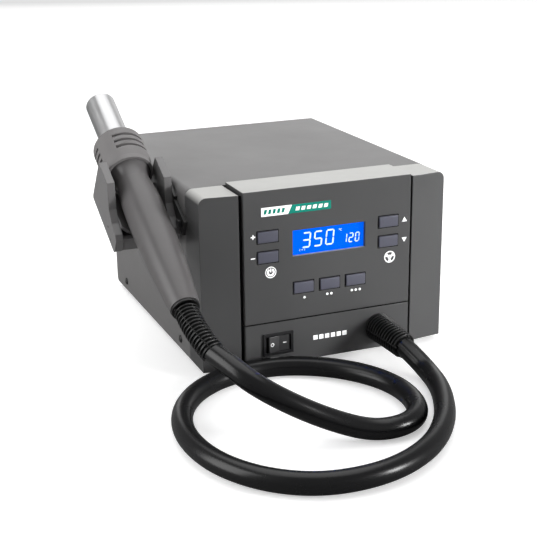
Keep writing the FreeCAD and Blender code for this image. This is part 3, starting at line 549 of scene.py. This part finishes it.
# which finish each carried part gets
carried = {
    "casePaint": "top_cover rear_panel base_pan",
    "frontMoulding": "front_bezel control_panel lower_panel",
    "forkSkin": "holder_yoke holder_saddle",
    "handleSkin": "handle_shell_upper handle_shell_lower",
    "capSkin": "handle_nose",
    "barrelSteel": "heater_barrel",
    "rubberBlack": "feet handle_tail_ring",
    "shinyBlack": "holder_screws power_switch_body mains_inlet fuse_drawer",
    "rockerSkin": "power_switch_rocker",
    # the holder_bracket's black is partly painted shade, standing for the dark gap between holder and case
    "insideBlack": "holder_bracket tact_switches triac air_duct lcd_module "
    "blower_housing_lower blower_housing_upper impeller",
    "boardGreen": "control_board main_board",
    "zincSteel": "board_screws foot_screws rear_screws holder_magnet "
    "motor_shaft motor_bearings duct_clamp thermocouple",
    "screwBlack": "cover_screws handle_screws",
    "brassPlain": "board_standoffs",
    "castAluminium": "heatsink blower_motor",
    "coreSheets": "transformer_core",
    "copperWire": "transformer_coil heater_coil",
    "ceramicBody": "heater_core",
    "micaSheet": "mica_tube",
    "fuseGlass": "fuse",
    "windowClear": "lcd_window",
}
for finish, names in carried.items():
    for name in names.split():
        node = cadObjects[name]
        for slotIndex in range(len(node.material_slots)):
            node.material_slots[slotIndex].link = "OBJECT"
            node.material_slots[slotIndex].material = materials[finish]
print("materials on the carried parts")

# air hose: one smooth line with the route's points as its control points

hose = {
    "diameter": 0.014,
    "length": 0.7756,
    "sides": 32,
    "steps": 10,
    "route": [
        (66.7, -111.6, 16.4), (69.0, -124.5, 12.4), (71.0, -139.5, 7.0), (66.5, -161.0, 7.0),
        (57.5, -184.5, 7.0), (42.5, -212.0, 7.0), (20.0, -237.5, 7.0), (-8.5, -254.5, 7.0),
        (-38.0, -260.5, 7.0), (-67.5, -256.0, 7.0), (-92.0, -238.5, 7.0), (-108.5, -212.0, 7.0),
        (-115.0, -182.0, 7.0), (-113.0, -152.5, 7.0), (-102.0, -125.0, 7.0), (-82.0, -102.0, 7.0),
        (-53.5, -88.0, 7.0), (-21.0, -87.0, 7.0), (8.0, -101.0, 7.0), (29.0, -123.5, 7.0),
        (40.0, -150.5, 7.0), (39.5, -177.5, 7.0), (31.0, -198.5, 7.0), (13.5, -209.0, 7.0),
        (-7.5, -206.5, 7.0), (-32.5, -198.5, 16.0), (-57.0, -193.5, 29.5), (-76.5, -184.0, 42.0),
        (-85.4, -167.0, 49.8), (-90.4, -151.1, 52.5),
    ],
}


def hoseLine():
    line = bpy.data.curves.new("hoseLine", "CURVE")
    line.dimensions = "3D"
    line.resolution_u = hose["steps"]
    run = line.splines.new("NURBS")
    run.points.add(len(hose["route"]) - 1)
    for point, (x, y, z) in zip(run.points, hose["route"]):
        point.co = (x / 1000, y / 1000, z / 1000, 1)
    run.order_u = 3
    run.use_endpoint_u = True
    carrier = bpy.data.objects.new("hoseLine", line)
    scene.collection.objects.link(carrier)
    bpy.context.view_layer.update()
    graph = bpy.context.evaluated_depsgraph_get()
    traced = bpy.data.meshes.new_from_object(carrier.evaluated_get(graph), depsgraph=graph)
    points = [v.co.copy() for v in traced.vertices]
    bpy.data.objects.remove(carrier)
    return points


# rings along the points, carried on without twisting, with a UV map for what follows the skin
def tubeAlong(name, points, radius, sides):
    form = bmesh.new()
    uvLayer = form.loops.layers.uv.new("UVMap")
    normal = Vector((0, 0, 1))
    rings, distance, travelled = [], 0.0, []
    for index, point in enumerate(points):
        ahead = points[min(index + 1, len(points) - 1)] - points[max(index - 1, 0)]
        tangent = ahead.normalized()
        normal = (normal - tangent * normal.dot(tangent)).normalized()
        side = tangent.cross(normal)
        if index:
            distance += (point - points[index - 1]).length
        travelled.append(distance)
        ring = []
        for k in range(sides):
            angle = 2 * math.pi * k / sides
            ring.append(form.verts.new(point + (side * math.cos(angle) + normal * math.sin(angle)) * radius))
        rings.append(ring)
    for row in range(len(rings) - 1):
        for k in range(sides):
            nextK = (k + 1) % sides
            near, far = rings[row], rings[row + 1]
            face = form.faces.new((near[k], near[nextK], far[nextK], far[k]))
            corners = ((k, row), (k + 1, row), (k + 1, row + 1), (k, row + 1))
            for loop, (column, line) in zip(face.loops, corners):
                loop[uvLayer].uv = (column / sides, travelled[line] * 20)
    form.faces.new(rings[0])
    form.faces.new(rings[-1])
    return meshFrom(name, form)


hosePoints = hoseLine()
hoseMesh = tubeAlong("airHoseSkin", hosePoints, hose["diameter"] / 2, hose["sides"])
airHose = newPiece("airHoseSkin", hoseMesh, materials["hoseSkin"])
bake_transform(airHose)
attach(airHose, "station")
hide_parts("air_hose")
print("hose laid")

# geometry nodes


def newTree(name, inputs):
    tree = bpy.data.node_groups.new(name, "GeometryNodeTree")
    for label, kind, value in inputs:
        socket = tree.interface.new_socket(name=label, in_out="INPUT", socket_type="NodeSocket" + kind)
        if value is not None:
            socket.default_value = value
    tree.interface.new_socket(name="Geometry", in_out="OUTPUT", socket_type="NodeSocketGeometry")
    return tree, tree.nodes.new("NodeGroupInput"), tree.nodes.new("NodeGroupOutput")


def step(tree, kind, values=None, **settings):
    made = tree.nodes.new(kind)
    for key, value in settings.items():
        setattr(made, key, value)
    for key, value in (values or {}).items():
        made.inputs[key].default_value = value
    return made


# runs a tree on an empty mesh and keeps what comes out as a plain mesh
def growPiece(name, tree, values, smooth=40):
    piece = bpy.data.objects.new(name, bpy.data.meshes.new(name))
    scene.collection.objects.link(piece)
    grow = piece.modifiers.new("grow", "NODES")
    grow.node_group = tree
    for item in tree.interface.items_tree:
        if item.item_type == "SOCKET" and item.in_out == "INPUT" and item.name in values:
            grow[item.identifier] = values[item.name]
    bakeModifiers(piece)
    if smooth:
        piece.data.shade_smooth()
        piece.data.set_sharp_from_angle(angle=math.radians(smooth))
    return piece


# a ribbed bend relief: a tapered core, flat ribs along it and small bridges in rows between the ribs
def makeBootTree():
    tree, given, result = newTree("ribbedBoot", [
        ("Start", "Vector", None), ("Middle", "Vector", None), ("End", "Vector", None),
        ("Root Radius", "Float", 0.010), ("Mouth Radius", "Float", 0.008), ("Core Share", "Float", 0.86),
        ("Ribs", "Int", 13), ("Rib Width", "Float", 0.11),
        ("Bridges", "Int", 6), ("Bridge Size", "Float", 0.09),
        ("Collar Length", "Float", 0.002), ("Material", "Material", None),
    ])
    spine = step(tree, "GeometryNodeCurveQuadraticBezier", {"Resolution": 40})
    for name in ("Start", "Middle", "End"):
        join(tree, given.outputs[name], spine.inputs[name])
    share = step(tree, "GeometryNodeSplineParameter")
    size = step(tree, "ShaderNodeMapRange")
    join(tree, share.outputs["Factor"], size.inputs["Value"])
    join(tree, given.outputs["Root Radius"], size.inputs["To Min"])
    join(tree, given.outputs["Mouth Radius"], size.inputs["To Max"])
    inner = step(tree, "ShaderNodeMath", operation="MULTIPLY")
    join(tree, size.outputs[0], inner.inputs[0])
    join(tree, given.outputs["Core Share"], inner.inputs[1])
    round1 = step(tree, "GeometryNodeCurvePrimitiveCircle", {"Resolution": 40, "Radius": 1.0})
    core = step(tree, "GeometryNodeCurveToMesh", {"Fill Caps": True})
    join(tree, spine.outputs[0], core.inputs["Curve"])
    join(tree, round1.outputs[0], core.inputs["Profile Curve"])
    join(tree, inner.outputs[0], core.inputs["Scale"])
    # one rib of radius 1: a rounded bar swept round a circle, with bridges beside it
    path = step(tree, "GeometryNodeCurvePrimitiveCircle", {"Resolution": 48, "Radius": 0.93})
    bar = step(tree, "GeometryNodeCurvePrimitiveQuadrilateral", {"Width": 0.14})
    join(tree, given.outputs["Rib Width"], bar.inputs["Height"])
    soft = step(tree, "GeometryNodeFilletCurve", {"Radius": 0.035, "Count": 3}, mode="POLY")
    join(tree, bar.outputs[0], soft.inputs["Curve"])
    rib = step(tree, "GeometryNodeCurveToMesh", {"Fill Caps": False})
    join(tree, path.outputs[0], rib.inputs["Curve"])
    join(tree, soft.outputs[0], rib.inputs["Profile Curve"])
    wheel = step(tree, "GeometryNodeCurvePrimitiveCircle", {"Radius": 0.93})
    join(tree, given.outputs["Bridges"], wheel.inputs["Resolution"])
    nub = step(tree, "GeometryNodeMeshIcoSphere", {"Radius": 1.0, "Subdivisions": 2})
    nubSize = step(tree, "ShaderNodeCombineXYZ")
    for k, factor in enumerate((1.0, 1.0, 1.9)):
        grown = step(tree, "ShaderNodeMath", {1: factor}, operation="MULTIPLY")
        join(tree, given.outputs["Bridge Size"], grown.inputs[0])
        join(tree, grown.outputs[0], nubSize.inputs[k])
    nubs = step(tree, "GeometryNodeInstanceOnPoints")
    join(tree, wheel.outputs[0], nubs.inputs["Points"])
    join(tree, nub.outputs[0], nubs.inputs["Instance"])
    join(tree, nubSize.outputs[0], nubs.inputs["Scale"])
    shifted = step(tree, "GeometryNodeTransform", {"Translation": (0, 0, 0.16)})
    join(tree, nubs.outputs[0], shifted.inputs["Geometry"])
    oneRib = step(tree, "GeometryNodeJoinGeometry")
    join(tree, rib.outputs[0], oneRib.inputs[0])
    join(tree, shifted.outputs[0], oneRib.inputs[0])
    places = step(tree, "GeometryNodeResampleCurve")
    join(tree, spine.outputs[0], places.inputs["Curve"])
    join(tree, given.outputs["Ribs"], places.inputs["Count"])
    tangent = step(tree, "GeometryNodeInputTangent")
    turn = step(tree, "FunctionNodeAlignRotationToVector", axis="Z")
    join(tree, tangent.outputs[0], turn.inputs["Vector"])
    row = step(tree, "GeometryNodeInstanceOnPoints")
    join(tree, places.outputs[0], row.inputs["Points"])
    join(tree, oneRib.outputs[0], row.inputs["Instance"])
    join(tree, turn.outputs[0], row.inputs["Rotation"])
    join(tree, size.outputs[0], row.inputs["Scale"])
    whole = step(tree, "GeometryNodeJoinGeometry")
    join(tree, core.outputs[0], whole.inputs[0])
    join(tree, row.outputs[0], whole.inputs[0])
    real = step(tree, "GeometryNodeRealizeInstances")
    join(tree, whole.outputs[0], real.inputs[0])
    paint = step(tree, "GeometryNodeSetMaterial")
    join(tree, real.outputs[0], paint.inputs[0])
    join(tree, given.outputs["Material"], paint.inputs["Material"])
    join(tree, paint.outputs[0], result.inputs[0])
    return tree


stationBoot = {
    "start": spot(40, -2.4, 15.8),
    "middle": spot(40.3, -20, 15.6),
    "end": Vector((0.06665, -0.1112, 0.0165)),
    "Root Radius": 0.0106, "Mouth Radius": 0.0092, "Core Share": 0.84,
    "Ribs": 13, "Rib Width": 0.12, "Bridges": 4, "Bridge Size": 0.07,
}
handleBoot = {
    "start": onHandle(-48.6),
    "middle": onHandle(-66.0),
    "end": Vector((-0.09025, -0.1515, 0.0526)),
    "Root Radius": 0.0081, "Mouth Radius": 0.0080, "Core Share": 0.82,
    "Ribs": 14, "Rib Width": 0.13, "Bridges": 5, "Bridge Size": 0.055,
}


def makeBoot(name, tree, look, body, node):
    values = {key: value for key, value in look.items() if key[0].isupper()}
    for key in ("start", "middle", "end"):
        values[key.capitalize()] = tuple(look[key])
    values["Material"] = materials["rubberBlack"]
    return settle(growPiece(name, tree, values), body, (node,))


bootTree = makeBootTree()
makeBoot("hoseBootRibs", bootTree, stationBoot, "station", "hose_boot")
makeBoot("handleBootRibs", bootTree, handleBoot, "handle", "handle_boot")
print("boots grown")

# keys: rounded caps with a soft crown, each on its own body

keys = {
    "width": 15.0,
    "height": 8.0,
    "proud": 1.3,
    "depth": 3.4,
    "rounding": 0.5,
    "crown": 0.28,
    "places": {
        "key_plus": (-46.5, 95.3), "key_minus": (-46.5, 80.7),
        "key_up": (46.5, 95.3), "key_down": (46.5, 80.7),
        "key_preset_1": (-19.7, 55.3), "key_preset_2": (0.5, 55.3), "key_preset_3": (20.7, 55.3),
    },
}


def makeKey(node, x, z):
    form = bmesh.new()
    face = -caseFrame["panelProud"] - keys["proud"]
    columns, rows = 10, 6
    grid = {}
    for i in range(columns + 1):
        for j in range(rows + 1):
            u, v = i / columns * 2 - 1, j / rows * 2 - 1
            dip = keys["crown"] * (u * u + v * v) / 2
            across, up = u * keys["width"] / 2, v * keys["height"] / 2
            grid[i, j] = form.verts.new(spot(x + across, face + dip, z + up))
    for i in range(columns):
        for j in range(rows):
            form.faces.new((grid[i, j], grid[i + 1, j], grid[i + 1, j + 1], grid[i, j + 1]))
    rim = [e for e in form.edges if len(e.link_faces) == 1]
    skirt = bmesh.ops.extrude_edge_only(form, edges=rim)["geom"]
    for vertex in (g for g in skirt if isinstance(g, bmesh.types.BMVert)):
        vertex.co.y = spot(0, face + keys["depth"], 0).y
    bmesh.ops.holes_fill(form, edges=[e for e in form.edges if len(e.link_faces) == 1])
    piece = newPiece(node + "_cap", meshFrom(node, form), materials["keyPlastic"])
    roundEdges(piece, keys["rounding"], 3, 50)
    settle(piece, node, (node,))


for node, (x, z) in keys["places"].items():
    makeKey(node, x, z)
print("keys made")

# printed marks: thin outlines in the panel's plane, pushed out of the surface


# each outline is a list of (x, z) in the case's coordinates, made into a plate between two depths
def plates(name, outlines, front, back, material, body="station", place=spot):
    form = bmesh.new()
    for outline in outlines:
        near = [form.verts.new(place(x, front, z)) for x, z in outline]
        far = [form.verts.new(place(x, back, z)) for x, z in outline]
        form.faces.new(near)
        form.faces.new(far[::-1])
        for k in range(len(outline)):
            n = (k + 1) % len(outline)
            form.faces.new((near[k], far[k], far[n], near[n]))
    piece = newPiece(name, meshFrom(name, form, 0), material)
    return settle(piece, body)


def disc(x, z, radius, sides=32):
    turns = [2 * math.pi * k / sides for k in range(sides)]
    return [(x + radius * math.cos(t), z + radius * math.sin(t)) for t in turns]


# an arc band as a row of small plates, so that each outline stays convex
def band(x, z, inner, outer, start, stop, pieces=16):
    found = []
    for k in range(pieces):
        a, b = (math.radians(start + (stop - start) * t / pieces) for t in (k, k + 1.02))
        corners = ((inner, a), (outer, a), (outer, b), (inner, b))
        found.append([(x + r * math.cos(t), z + r * math.sin(t)) for r, t in corners])
    return found


def bar(x, z, width, height, lean=0.0):
    w, h = width / 2, height / 2
    return [(x + i * w + j * lean * h, z + j * h) for i, j in ((-1, -1), (1, -1), (1, 1), (-1, 1))]


printed = {
    "thickness": 0.06,
    "plus": (-57.2, 96.1),
    "minus": (-57.4, 80.8),
    "dial": (-44.4, 69.3, 4.2),
    "fan": (48.1, 68.5, 4.4),
    "up": (59.5, 95.2),
    "down": (59.6, 80.2),
    "dots": [(-19.0, 47.4), (-1.3, 47.4), (1.9, 47.4), (18.0, 47.3), (21.2, 47.3), (24.4, 47.3)],
}


def makeMarks():
    front = -caseFrame["panelProud"] - printed["thickness"]
    back = -caseFrame["panelProud"] + 0.2
    ink = []
    x, z = printed["plus"]
    ink += [bar(x, z, 3.4, 0.85), bar(x, z + 1.06, 0.85, 1.27), bar(x, z - 1.06, 0.85, 1.27)]
    ink.append(bar(*printed["minus"], 3.4, 0.85))
    x, z = printed["up"]
    ink.append([(x - 2.1, z - 1.6), (x + 2.1, z - 1.6), (x, z + 1.9)])
    x, z = printed["down"]
    ink.append([(x - 2.1, z + 1.6), (x, z - 1.9), (x + 2.1, z + 1.6)])
    ink += [disc(x, z, 0.95, 20) for x, z in printed["dots"]]
    x, z, size = printed["dial"]
    ink += band(x, z, size * 0.84, size, 0, 360, 28)
    ink += band(x, z, size * 0.34, size * 0.7, 116, 424, 24)
    ink.append(bar(x, z + size * 0.36, size * 0.2, size * 0.72))
    x, z, size = printed["fan"]
    ink += band(x, z, size * 0.8, size, 0, 360, 28)
    for turn in (90, 210, 330):
        ink += band(x, z, size * 0.16, size * 0.82, turn + 36, turn + 84, 5)
        ink += band(x, z, size * 0.16, size * 0.36, turn - 38, turn + 38, 6)
    ink.append(disc(x, z, size * 0.1, 12))
    return plates("panelMarks", ink, front, back, materials["whiteInkPaintedGlow"])


makeMarks()

# badge: a white field and a green field, with plain bars in place of lettering

badge = {
    "left": -51.0, "right": 1.3, "low": 109.8, "high": 116.0,
    "splitLow": -31.2, "splitHigh": -28.2, "thickness": 0.3,
}


def makeBadge():
    face = -caseFrame["panelProud"]
    front = face - badge["thickness"]
    low, high = badge["low"], badge["high"]
    left, splitLow, splitHigh = badge["left"], badge["splitLow"], badge["splitHigh"]
    white = [(left, low), (splitLow, low), (splitHigh, high), (left, high)]
    green = [white[1], (badge["right"], low), (badge["right"], high), white[2]]
    piece = plates("badgeWhiteField", [white], front, face, materials["badgeWhitePaintedGlow"])
    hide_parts("badge_plate")
    plates("badgeGreenField", [green], front, face, materials["badgeGreen"])
    middle = (low + high) / 2
    greenBars = [bar(-48.0 + 3.3 * k, middle, 2.0, 3.2, 0.25) for k in range(5)]
    whiteBars = [bar(-24.0 + 4.3 * k, middle, 2.8, 2.6, 0.25) for k in range(6)]
    plates("badgeGreenBars", greenBars, front - 0.03, front + 0.1, materials["badgeGreen"])
    plates("badgeWhiteBars", whiteBars, front - 0.03, front + 0.1, materials["badgeWhitePaintedGlow"])
    plain = [bar(-10.5 + 4.6 * k, 15.6, 3.4, 3.4, 0.0) for k in range(6)]
    plates("lowerPanelBars", plain, face - 0.06, face + 0.2, materials["whiteInkPaintedGlow"])


makeBadge()

# painted shade: dark strips deep in the grooves and in the split between the panels, laid where there is
# only shadow, which read as shadow lines

gapShade = {"split": 32.2, "splitWidth": 1.1, "panelHalf": 64.0, "grooveWidth": 2.6, "high": 125.0}


def makeGapShade():
    across = [bar(0, gapShade["split"], 2 * gapShade["panelHalf"], gapShade["splitWidth"])]
    plates("panelSeam", across, -caseFrame["panelProud"] - 0.02, 0.4, materials["gapShadeBlack"])
    middle = gapShade["panelHalf"] + gapShade["grooveWidth"] / 2
    width = gapShade["grooveWidth"] - 0.1
    grooves = [bar(side * middle, gapShade["high"] / 2, width, gapShade["high"]) for side in (-1, 1)]
    plates("sideSeams", grooves, 2.3, 2.9, materials["gapShadeBlack"])


makeGapShade()


# painted shade: a dark outline round each key's opening, laid in the gap where there is only shadow
def makeKeyGapShade():
    w, h, line = keys["width"] / 2 + 0.75, keys["height"] / 2 + 0.75, 0.5
    found = []
    for x, z in keys["places"].values():
        found += [bar(x, z + side * (h - line / 2), 2 * w, line) for side in (-1, 1)]
        found += [bar(x + side * (w - line / 2), z, line, 2 * (h - line)) for side in (-1, 1)]
    face = -caseFrame["panelProud"]
    plates("keyOutlines", found, face - 0.02, face + 0.3, materials["gapShadeBlack"])


makeKeyGapShade()


# painted shade: a dark sleeve inside the cap, seen through its slots, darkening them where there is only
# shadow
capSleeve = {"from": 98, "radius": 0.0128}


def makeCapShadeSleeve():
    points = [onHandle(capSleeve["from"] + 4 * k) for k in range(5)]
    mesh = tubeAlong("capSleeve", points, capSleeve["radius"], 40)
    settle(newPiece("capSleeve", mesh, materials["gapShadeBlack"]), "handle")


makeCapShadeSleeve()
print("marks and badge made")

# display: lit field and slanted digits of separate bars

display = {
    "middle": (0.2, 88.0),
    "width": 55.8,
    "height": 18.6,
    "face": 2.3,
    "slant": 0.10,
    "smallRings": [  # x, z, inner and outer radius, start and stop, pieces
        (9.9, 93.0, 0.3, 0.5, 0, 360, 10), (11.3, 92.4, 0.6, 0.85, 50, 310, 10),
        (-20.2, 81.3, 0.55, 0.8, 100, 260, 6), (-17.6, 81.3, 0.55, 0.8, -80, 80, 6),
    ],
    "smallDot": (-18.9, 81.3, 0.35, 10),
    "large": {
        "text": "350", "left": -19.4, "pitch": 9.0, "base": 82.4,
        "width": 6.5, "height": 11.4, "bar": 1.05,
    },
    "small": {
        "text": "120", "left": 12.0, "pitch": 4.9, "base": 82.2,
        "width": 3.5, "height": 7.0, "bar": 0.7,
    },
}
litBars = {"0": "abcdef", "1": "bc", "2": "abged", "3": "abgcd", "5": "afgcd"}


def digit(letter, left, look):
    w, h, t = look["width"], look["height"], look["bar"]
    gap = t * 0.16

    def flatBar(z):
        tips, ends = (t / 2 + gap, w - t / 2 - gap), (t + gap, w - t - gap)
        return [
            (tips[0], z), (ends[0], z + t / 2), (ends[1], z + t / 2),
            (tips[1], z), (ends[1], z - t / 2), (ends[0], z - t / 2),
        ]

    def standingBar(x, low, high):
        foot, head = low + t / 2 + gap, high - t / 2 - gap
        return [
            (x, low + gap), (x + t / 2, foot), (x + t / 2, head),
            (x, high - gap), (x - t / 2, head), (x - t / 2, foot),
        ]

    low, middle, high = t / 2, h / 2, h - t / 2
    bars = {
        "a": flatBar(high), "g": flatBar(middle), "d": flatBar(low),
        "f": standingBar(t / 2, middle, high), "b": standingBar(w - t / 2, middle, high),
        "e": standingBar(t / 2, low, middle), "c": standingBar(w - t / 2, low, middle),
    }
    slant, base = display["slant"], look["base"]
    return [[(left + x + z * slant, base + z) for x, z in bars[key]] for key in litBars[letter]]


def makeDisplay():
    x, z = display["middle"]
    w, h = display["width"] / 2 + 1.6, display["height"] / 2 + 1.6
    field = [(x - w, z - h), (x + w, z - h), (x + w, z + h), (x - w, z + h)]
    face = display["face"]
    plates("displayField", [field], face - 0.04, face + 0.06, materials["displayBlue"])
    figures = []
    for look in (display["large"], display["small"]):
        for k, letter in enumerate(look["text"]):
            figures += digit(letter, look["left"] + k * look["pitch"], look)
    for ring in display["smallRings"]:
        figures += band(*ring)
    figures.append(disc(*display["smallDot"]))
    plates("displayFigures", figures, face - 0.07, face, materials["digitWhite"])


makeDisplay()
print("display lit")

# rocker marks, laid on the rocker's face

rockerFace = {"x": -39.6, "z": 15.9, "off": (-5.0, 1.5), "on": (5.0, 1.5)}


def layOn(node):
    source = cadObjects[node]
    form = bmesh.new()
    form.from_mesh(source.data)
    skin = BVHTree.FromBMesh(form)
    form.free()

    def place(x, depth, z):
        start = spot(x, -20, z)
        hit, normal, index, distance = skin.ray_cast(start, Vector((0, 1, 0)))
        found = hit if hit else spot(x, -4, z)
        return found + Vector((0, depth / 1000, 0))

    return place


def makeRockerMarks():
    x, z = rockerFace["x"], rockerFace["z"]
    ring = band(x + rockerFace["off"][0], z, 0.95, 1.4, 0, 360, 20)
    dash = [bar(x + rockerFace["on"][0], z, 2.4, 0.5)]
    face = layOn("power_switch_rocker")
    plates("rockerMarks", ring + dash, -0.05, 0.15, materials["whiteInkPaintedGlow"], body="rocker", place=face)


makeRockerMarks()

# screws: domed heads with a cross recess, one tree for all of them

screwHeads = {"radius": 0.003, "height": 0.0013, "recess": 0.0036}


def makeScrewTree():
    tree, given, result = newTree("screwHeads", [
        ("Points", "Object", None), ("Radius", "Float", 0.003), ("Height", "Float", 0.0012),
        ("Recess", "Float", 0.0036), ("Material", "Material", None),
    ])
    spots = step(tree, "GeometryNodeObjectInfo", transform_space="ORIGINAL")
    join(tree, given.outputs["Points"], spots.inputs["Object"])
    head = step(tree, "GeometryNodeMeshUVSphere", {"Segments": 28, "Rings": 16})
    join(tree, given.outputs["Radius"], head.inputs["Radius"])
    squeeze = step(tree, "GeometryNodeTransform")
    ratio = step(tree, "ShaderNodeMath", operation="DIVIDE")
    join(tree, given.outputs["Height"], ratio.inputs[0])
    join(tree, given.outputs["Radius"], ratio.inputs[1])
    flatness = step(tree, "ShaderNodeCombineXYZ", {"X": 1.0, "Y": 1.0})
    join(tree, ratio.outputs[0], flatness.inputs["Z"])
    join(tree, head.outputs[0], squeeze.inputs["Geometry"])
    join(tree, flatness.outputs[0], squeeze.inputs["Scale"])
    cutters = step(tree, "GeometryNodeJoinGeometry")
    for turn in (0.0, math.pi / 2):
        blade = step(tree, "GeometryNodeMeshCube")
        size = step(tree, "ShaderNodeCombineXYZ", {"Y": 0.0007, "Z": 0.0016})
        join(tree, given.outputs["Recess"], size.inputs["X"])
        join(tree, size.outputs[0], blade.inputs["Size"])
        lay = step(tree, "GeometryNodeTransform")
        lay.inputs["Rotation"].default_value = (0.0, 0.0, turn)
        join(tree, blade.outputs[0], lay.inputs["Geometry"])
        lift = step(tree, "GeometryNodeTransform")
        height = step(tree, "ShaderNodeCombineXYZ")
        join(tree, given.outputs["Height"], height.inputs["Z"])
        join(tree, lay.outputs[0], lift.inputs["Geometry"])
        join(tree, height.outputs[0], lift.inputs["Translation"])
        join(tree, lift.outputs[0], cutters.inputs[0])
    carve = step(tree, "GeometryNodeMeshBoolean", operation="DIFFERENCE")
    join(tree, squeeze.outputs[0], carve.inputs["Mesh 1"])
    join(tree, cutters.outputs[0], carve.inputs["Mesh 2"])
    facing = step(tree, "GeometryNodeInputNamedAttribute", {"Name": "facing"}, data_type="FLOAT_VECTOR")
    turn = step(tree, "FunctionNodeAlignRotationToVector", axis="Z")
    join(tree, facing.outputs["Attribute"], turn.inputs["Vector"])
    row = step(tree, "GeometryNodeInstanceOnPoints")
    join(tree, spots.outputs["Geometry"], row.inputs["Points"])
    join(tree, carve.outputs[0], row.inputs["Instance"])
    join(tree, turn.outputs[0], row.inputs["Rotation"])
    real = step(tree, "GeometryNodeRealizeInstances")
    join(tree, row.outputs[0], real.inputs[0])
    paint = step(tree, "GeometryNodeSetMaterial")
    join(tree, real.outputs[0], paint.inputs[0])
    join(tree, given.outputs["Material"], paint.inputs["Material"])
    join(tree, paint.outputs[0], result.inputs[0])
    return tree


screwTree = makeScrewTree()


def makeScrews(name, spots, body, material, replaced):
    points = bpy.data.meshes.new(name + "_points")
    points.from_pydata([place for place, way in spots], [], [])
    facing = points.attributes.new("facing", "FLOAT_VECTOR", "POINT")
    for index, (place, way) in enumerate(spots):
        facing.data[index].vector = way
    carrier = bpy.data.objects.new(name + "_points", points)
    scene.collection.objects.link(carrier)
    piece = growPiece(name, screwTree, {
        "Points": carrier, "Radius": screwHeads["radius"], "Height": screwHeads["height"],
        "Recess": screwHeads["recess"], "Material": materials[material],
    }, 35)
    bpy.data.objects.remove(carrier)
    return settle(piece, body, replaced)


sideSpots = [(spot(side * 94, y, z), (side, 0, 0)) for side in (-1, 1) for y, z in ((53.5, 8), (198.5, 8))]
rearSpots = [(spot(x, 228.0, z), (0, 1, 0)) for x, z in ((-84, 10), (84, 10), (-72, 118), (72, 118))]
makeScrews("sideScrewHeads", sideSpots, "station", "screwBlack", ("cover_screws",))
makeScrews("rearScrewHeads", rearSpots, "station", "screwBlack", ("rear_screws",))
print("screws set")

# floor, light and background

studio = {
    "floorShade": 0.84,
    "floorLift": 0.45,
    "flagShade": 0.25,
    "worldLight": 0.32,
    "lamps": [
        ("topSoft", (0.1, 0.3, 1.4), (0.0, 0.0, 0.05), (1.5, 1.5), 12.5, 180),
        ("backSoft", (0.9, 2.3, 0.8), (0.0, 0.0, 0.1), (2.4, 1.3), 9.0, 180),
        ("leftSoft", (-1.25, 0.1, 0.55), (0.0, 0.0, 0.08), (0.9, 1.1), 12.5, 180),
        ("rightSoft", (0.85, -0.7, 0.3), (0.2, -0.05, 0.07), (0.6, 0.5), 1.5, 32),
    ],
}


# a plain floor, a little brighter to the camera and darker in reflections, as with flags beside the object
def makeFloorMaterial():
    material = bpy.data.materials.new("studioFloor")
    material.use_nodes = True
    tree = material.node_tree
    shader = tree.nodes["Principled BSDF"]
    shader.inputs["Roughness"].default_value = 0.7
    shader.inputs["Emission Color"].default_value = (1, 1, 1, 1)
    path = addNode(tree, "LightPath")
    bright, dim = studio["floorShade"], studio["flagShade"]
    shade = addNode(tree, "Mix", {6: (bright, bright, bright, 1), 7: (dim, dim, dim, 1)}, data_type="RGBA")
    join(tree, path.outputs["Is Glossy Ray"], shade.inputs[0])
    join(tree, shade.outputs[2], shader.inputs["Base Color"])
    lift = addNode(tree, "Math", {1: studio["floorLift"]}, operation="MULTIPLY")
    join(tree, path.outputs["Is Camera Ray"], lift.inputs[0])
    join(tree, lift.outputs[0], shader.inputs["Emission Strength"])
    return material


def makeWorld():
    world = bpy.data.worlds.new("studioWorld")
    scene.world = world
    world.use_nodes = True
    tree = world.node_tree
    sky = tree.nodes["Background"]
    sky.inputs["Color"].default_value = (1, 1, 1, 1)
    path = addNode(tree, "LightPath")
    level = addNode(tree, "MapRange", {"To Min": studio["worldLight"], "To Max": 1.0})
    join(tree, path.outputs["Is Camera Ray"], level.inputs["Value"])
    join(tree, level.outputs[0], sky.inputs["Strength"])


def makeStudio():
    form = bmesh.new()
    for x, y in ((-6, -6), (6, -6), (6, 6), (-6, 6)):
        form.verts.new((x, y, -0.0001))
    form.faces.new(form.verts)
    newPiece("studioFloor", meshFrom("studioFloor", form, 0), makeFloorMaterial())
    makeWorld()
    for name, place, target, size, power, spread in studio["lamps"]:
        data = bpy.data.lights.new(name, "AREA")
        data.shape = "RECTANGLE"
        data.size, data.size_y = size
        data.energy = power
        data.spread = math.radians(spread)
        lamp = bpy.data.objects.new(name, data)
        away = Vector(place) - Vector(target)
        lamp.matrix_world = Matrix.Translation(place) @ away.to_track_quat("Z", "Y").to_matrix().to_4x4()
        scene.collection.objects.link(lamp)


makeStudio()
scene.view_settings.view_transform = "Standard"
print("studio set")
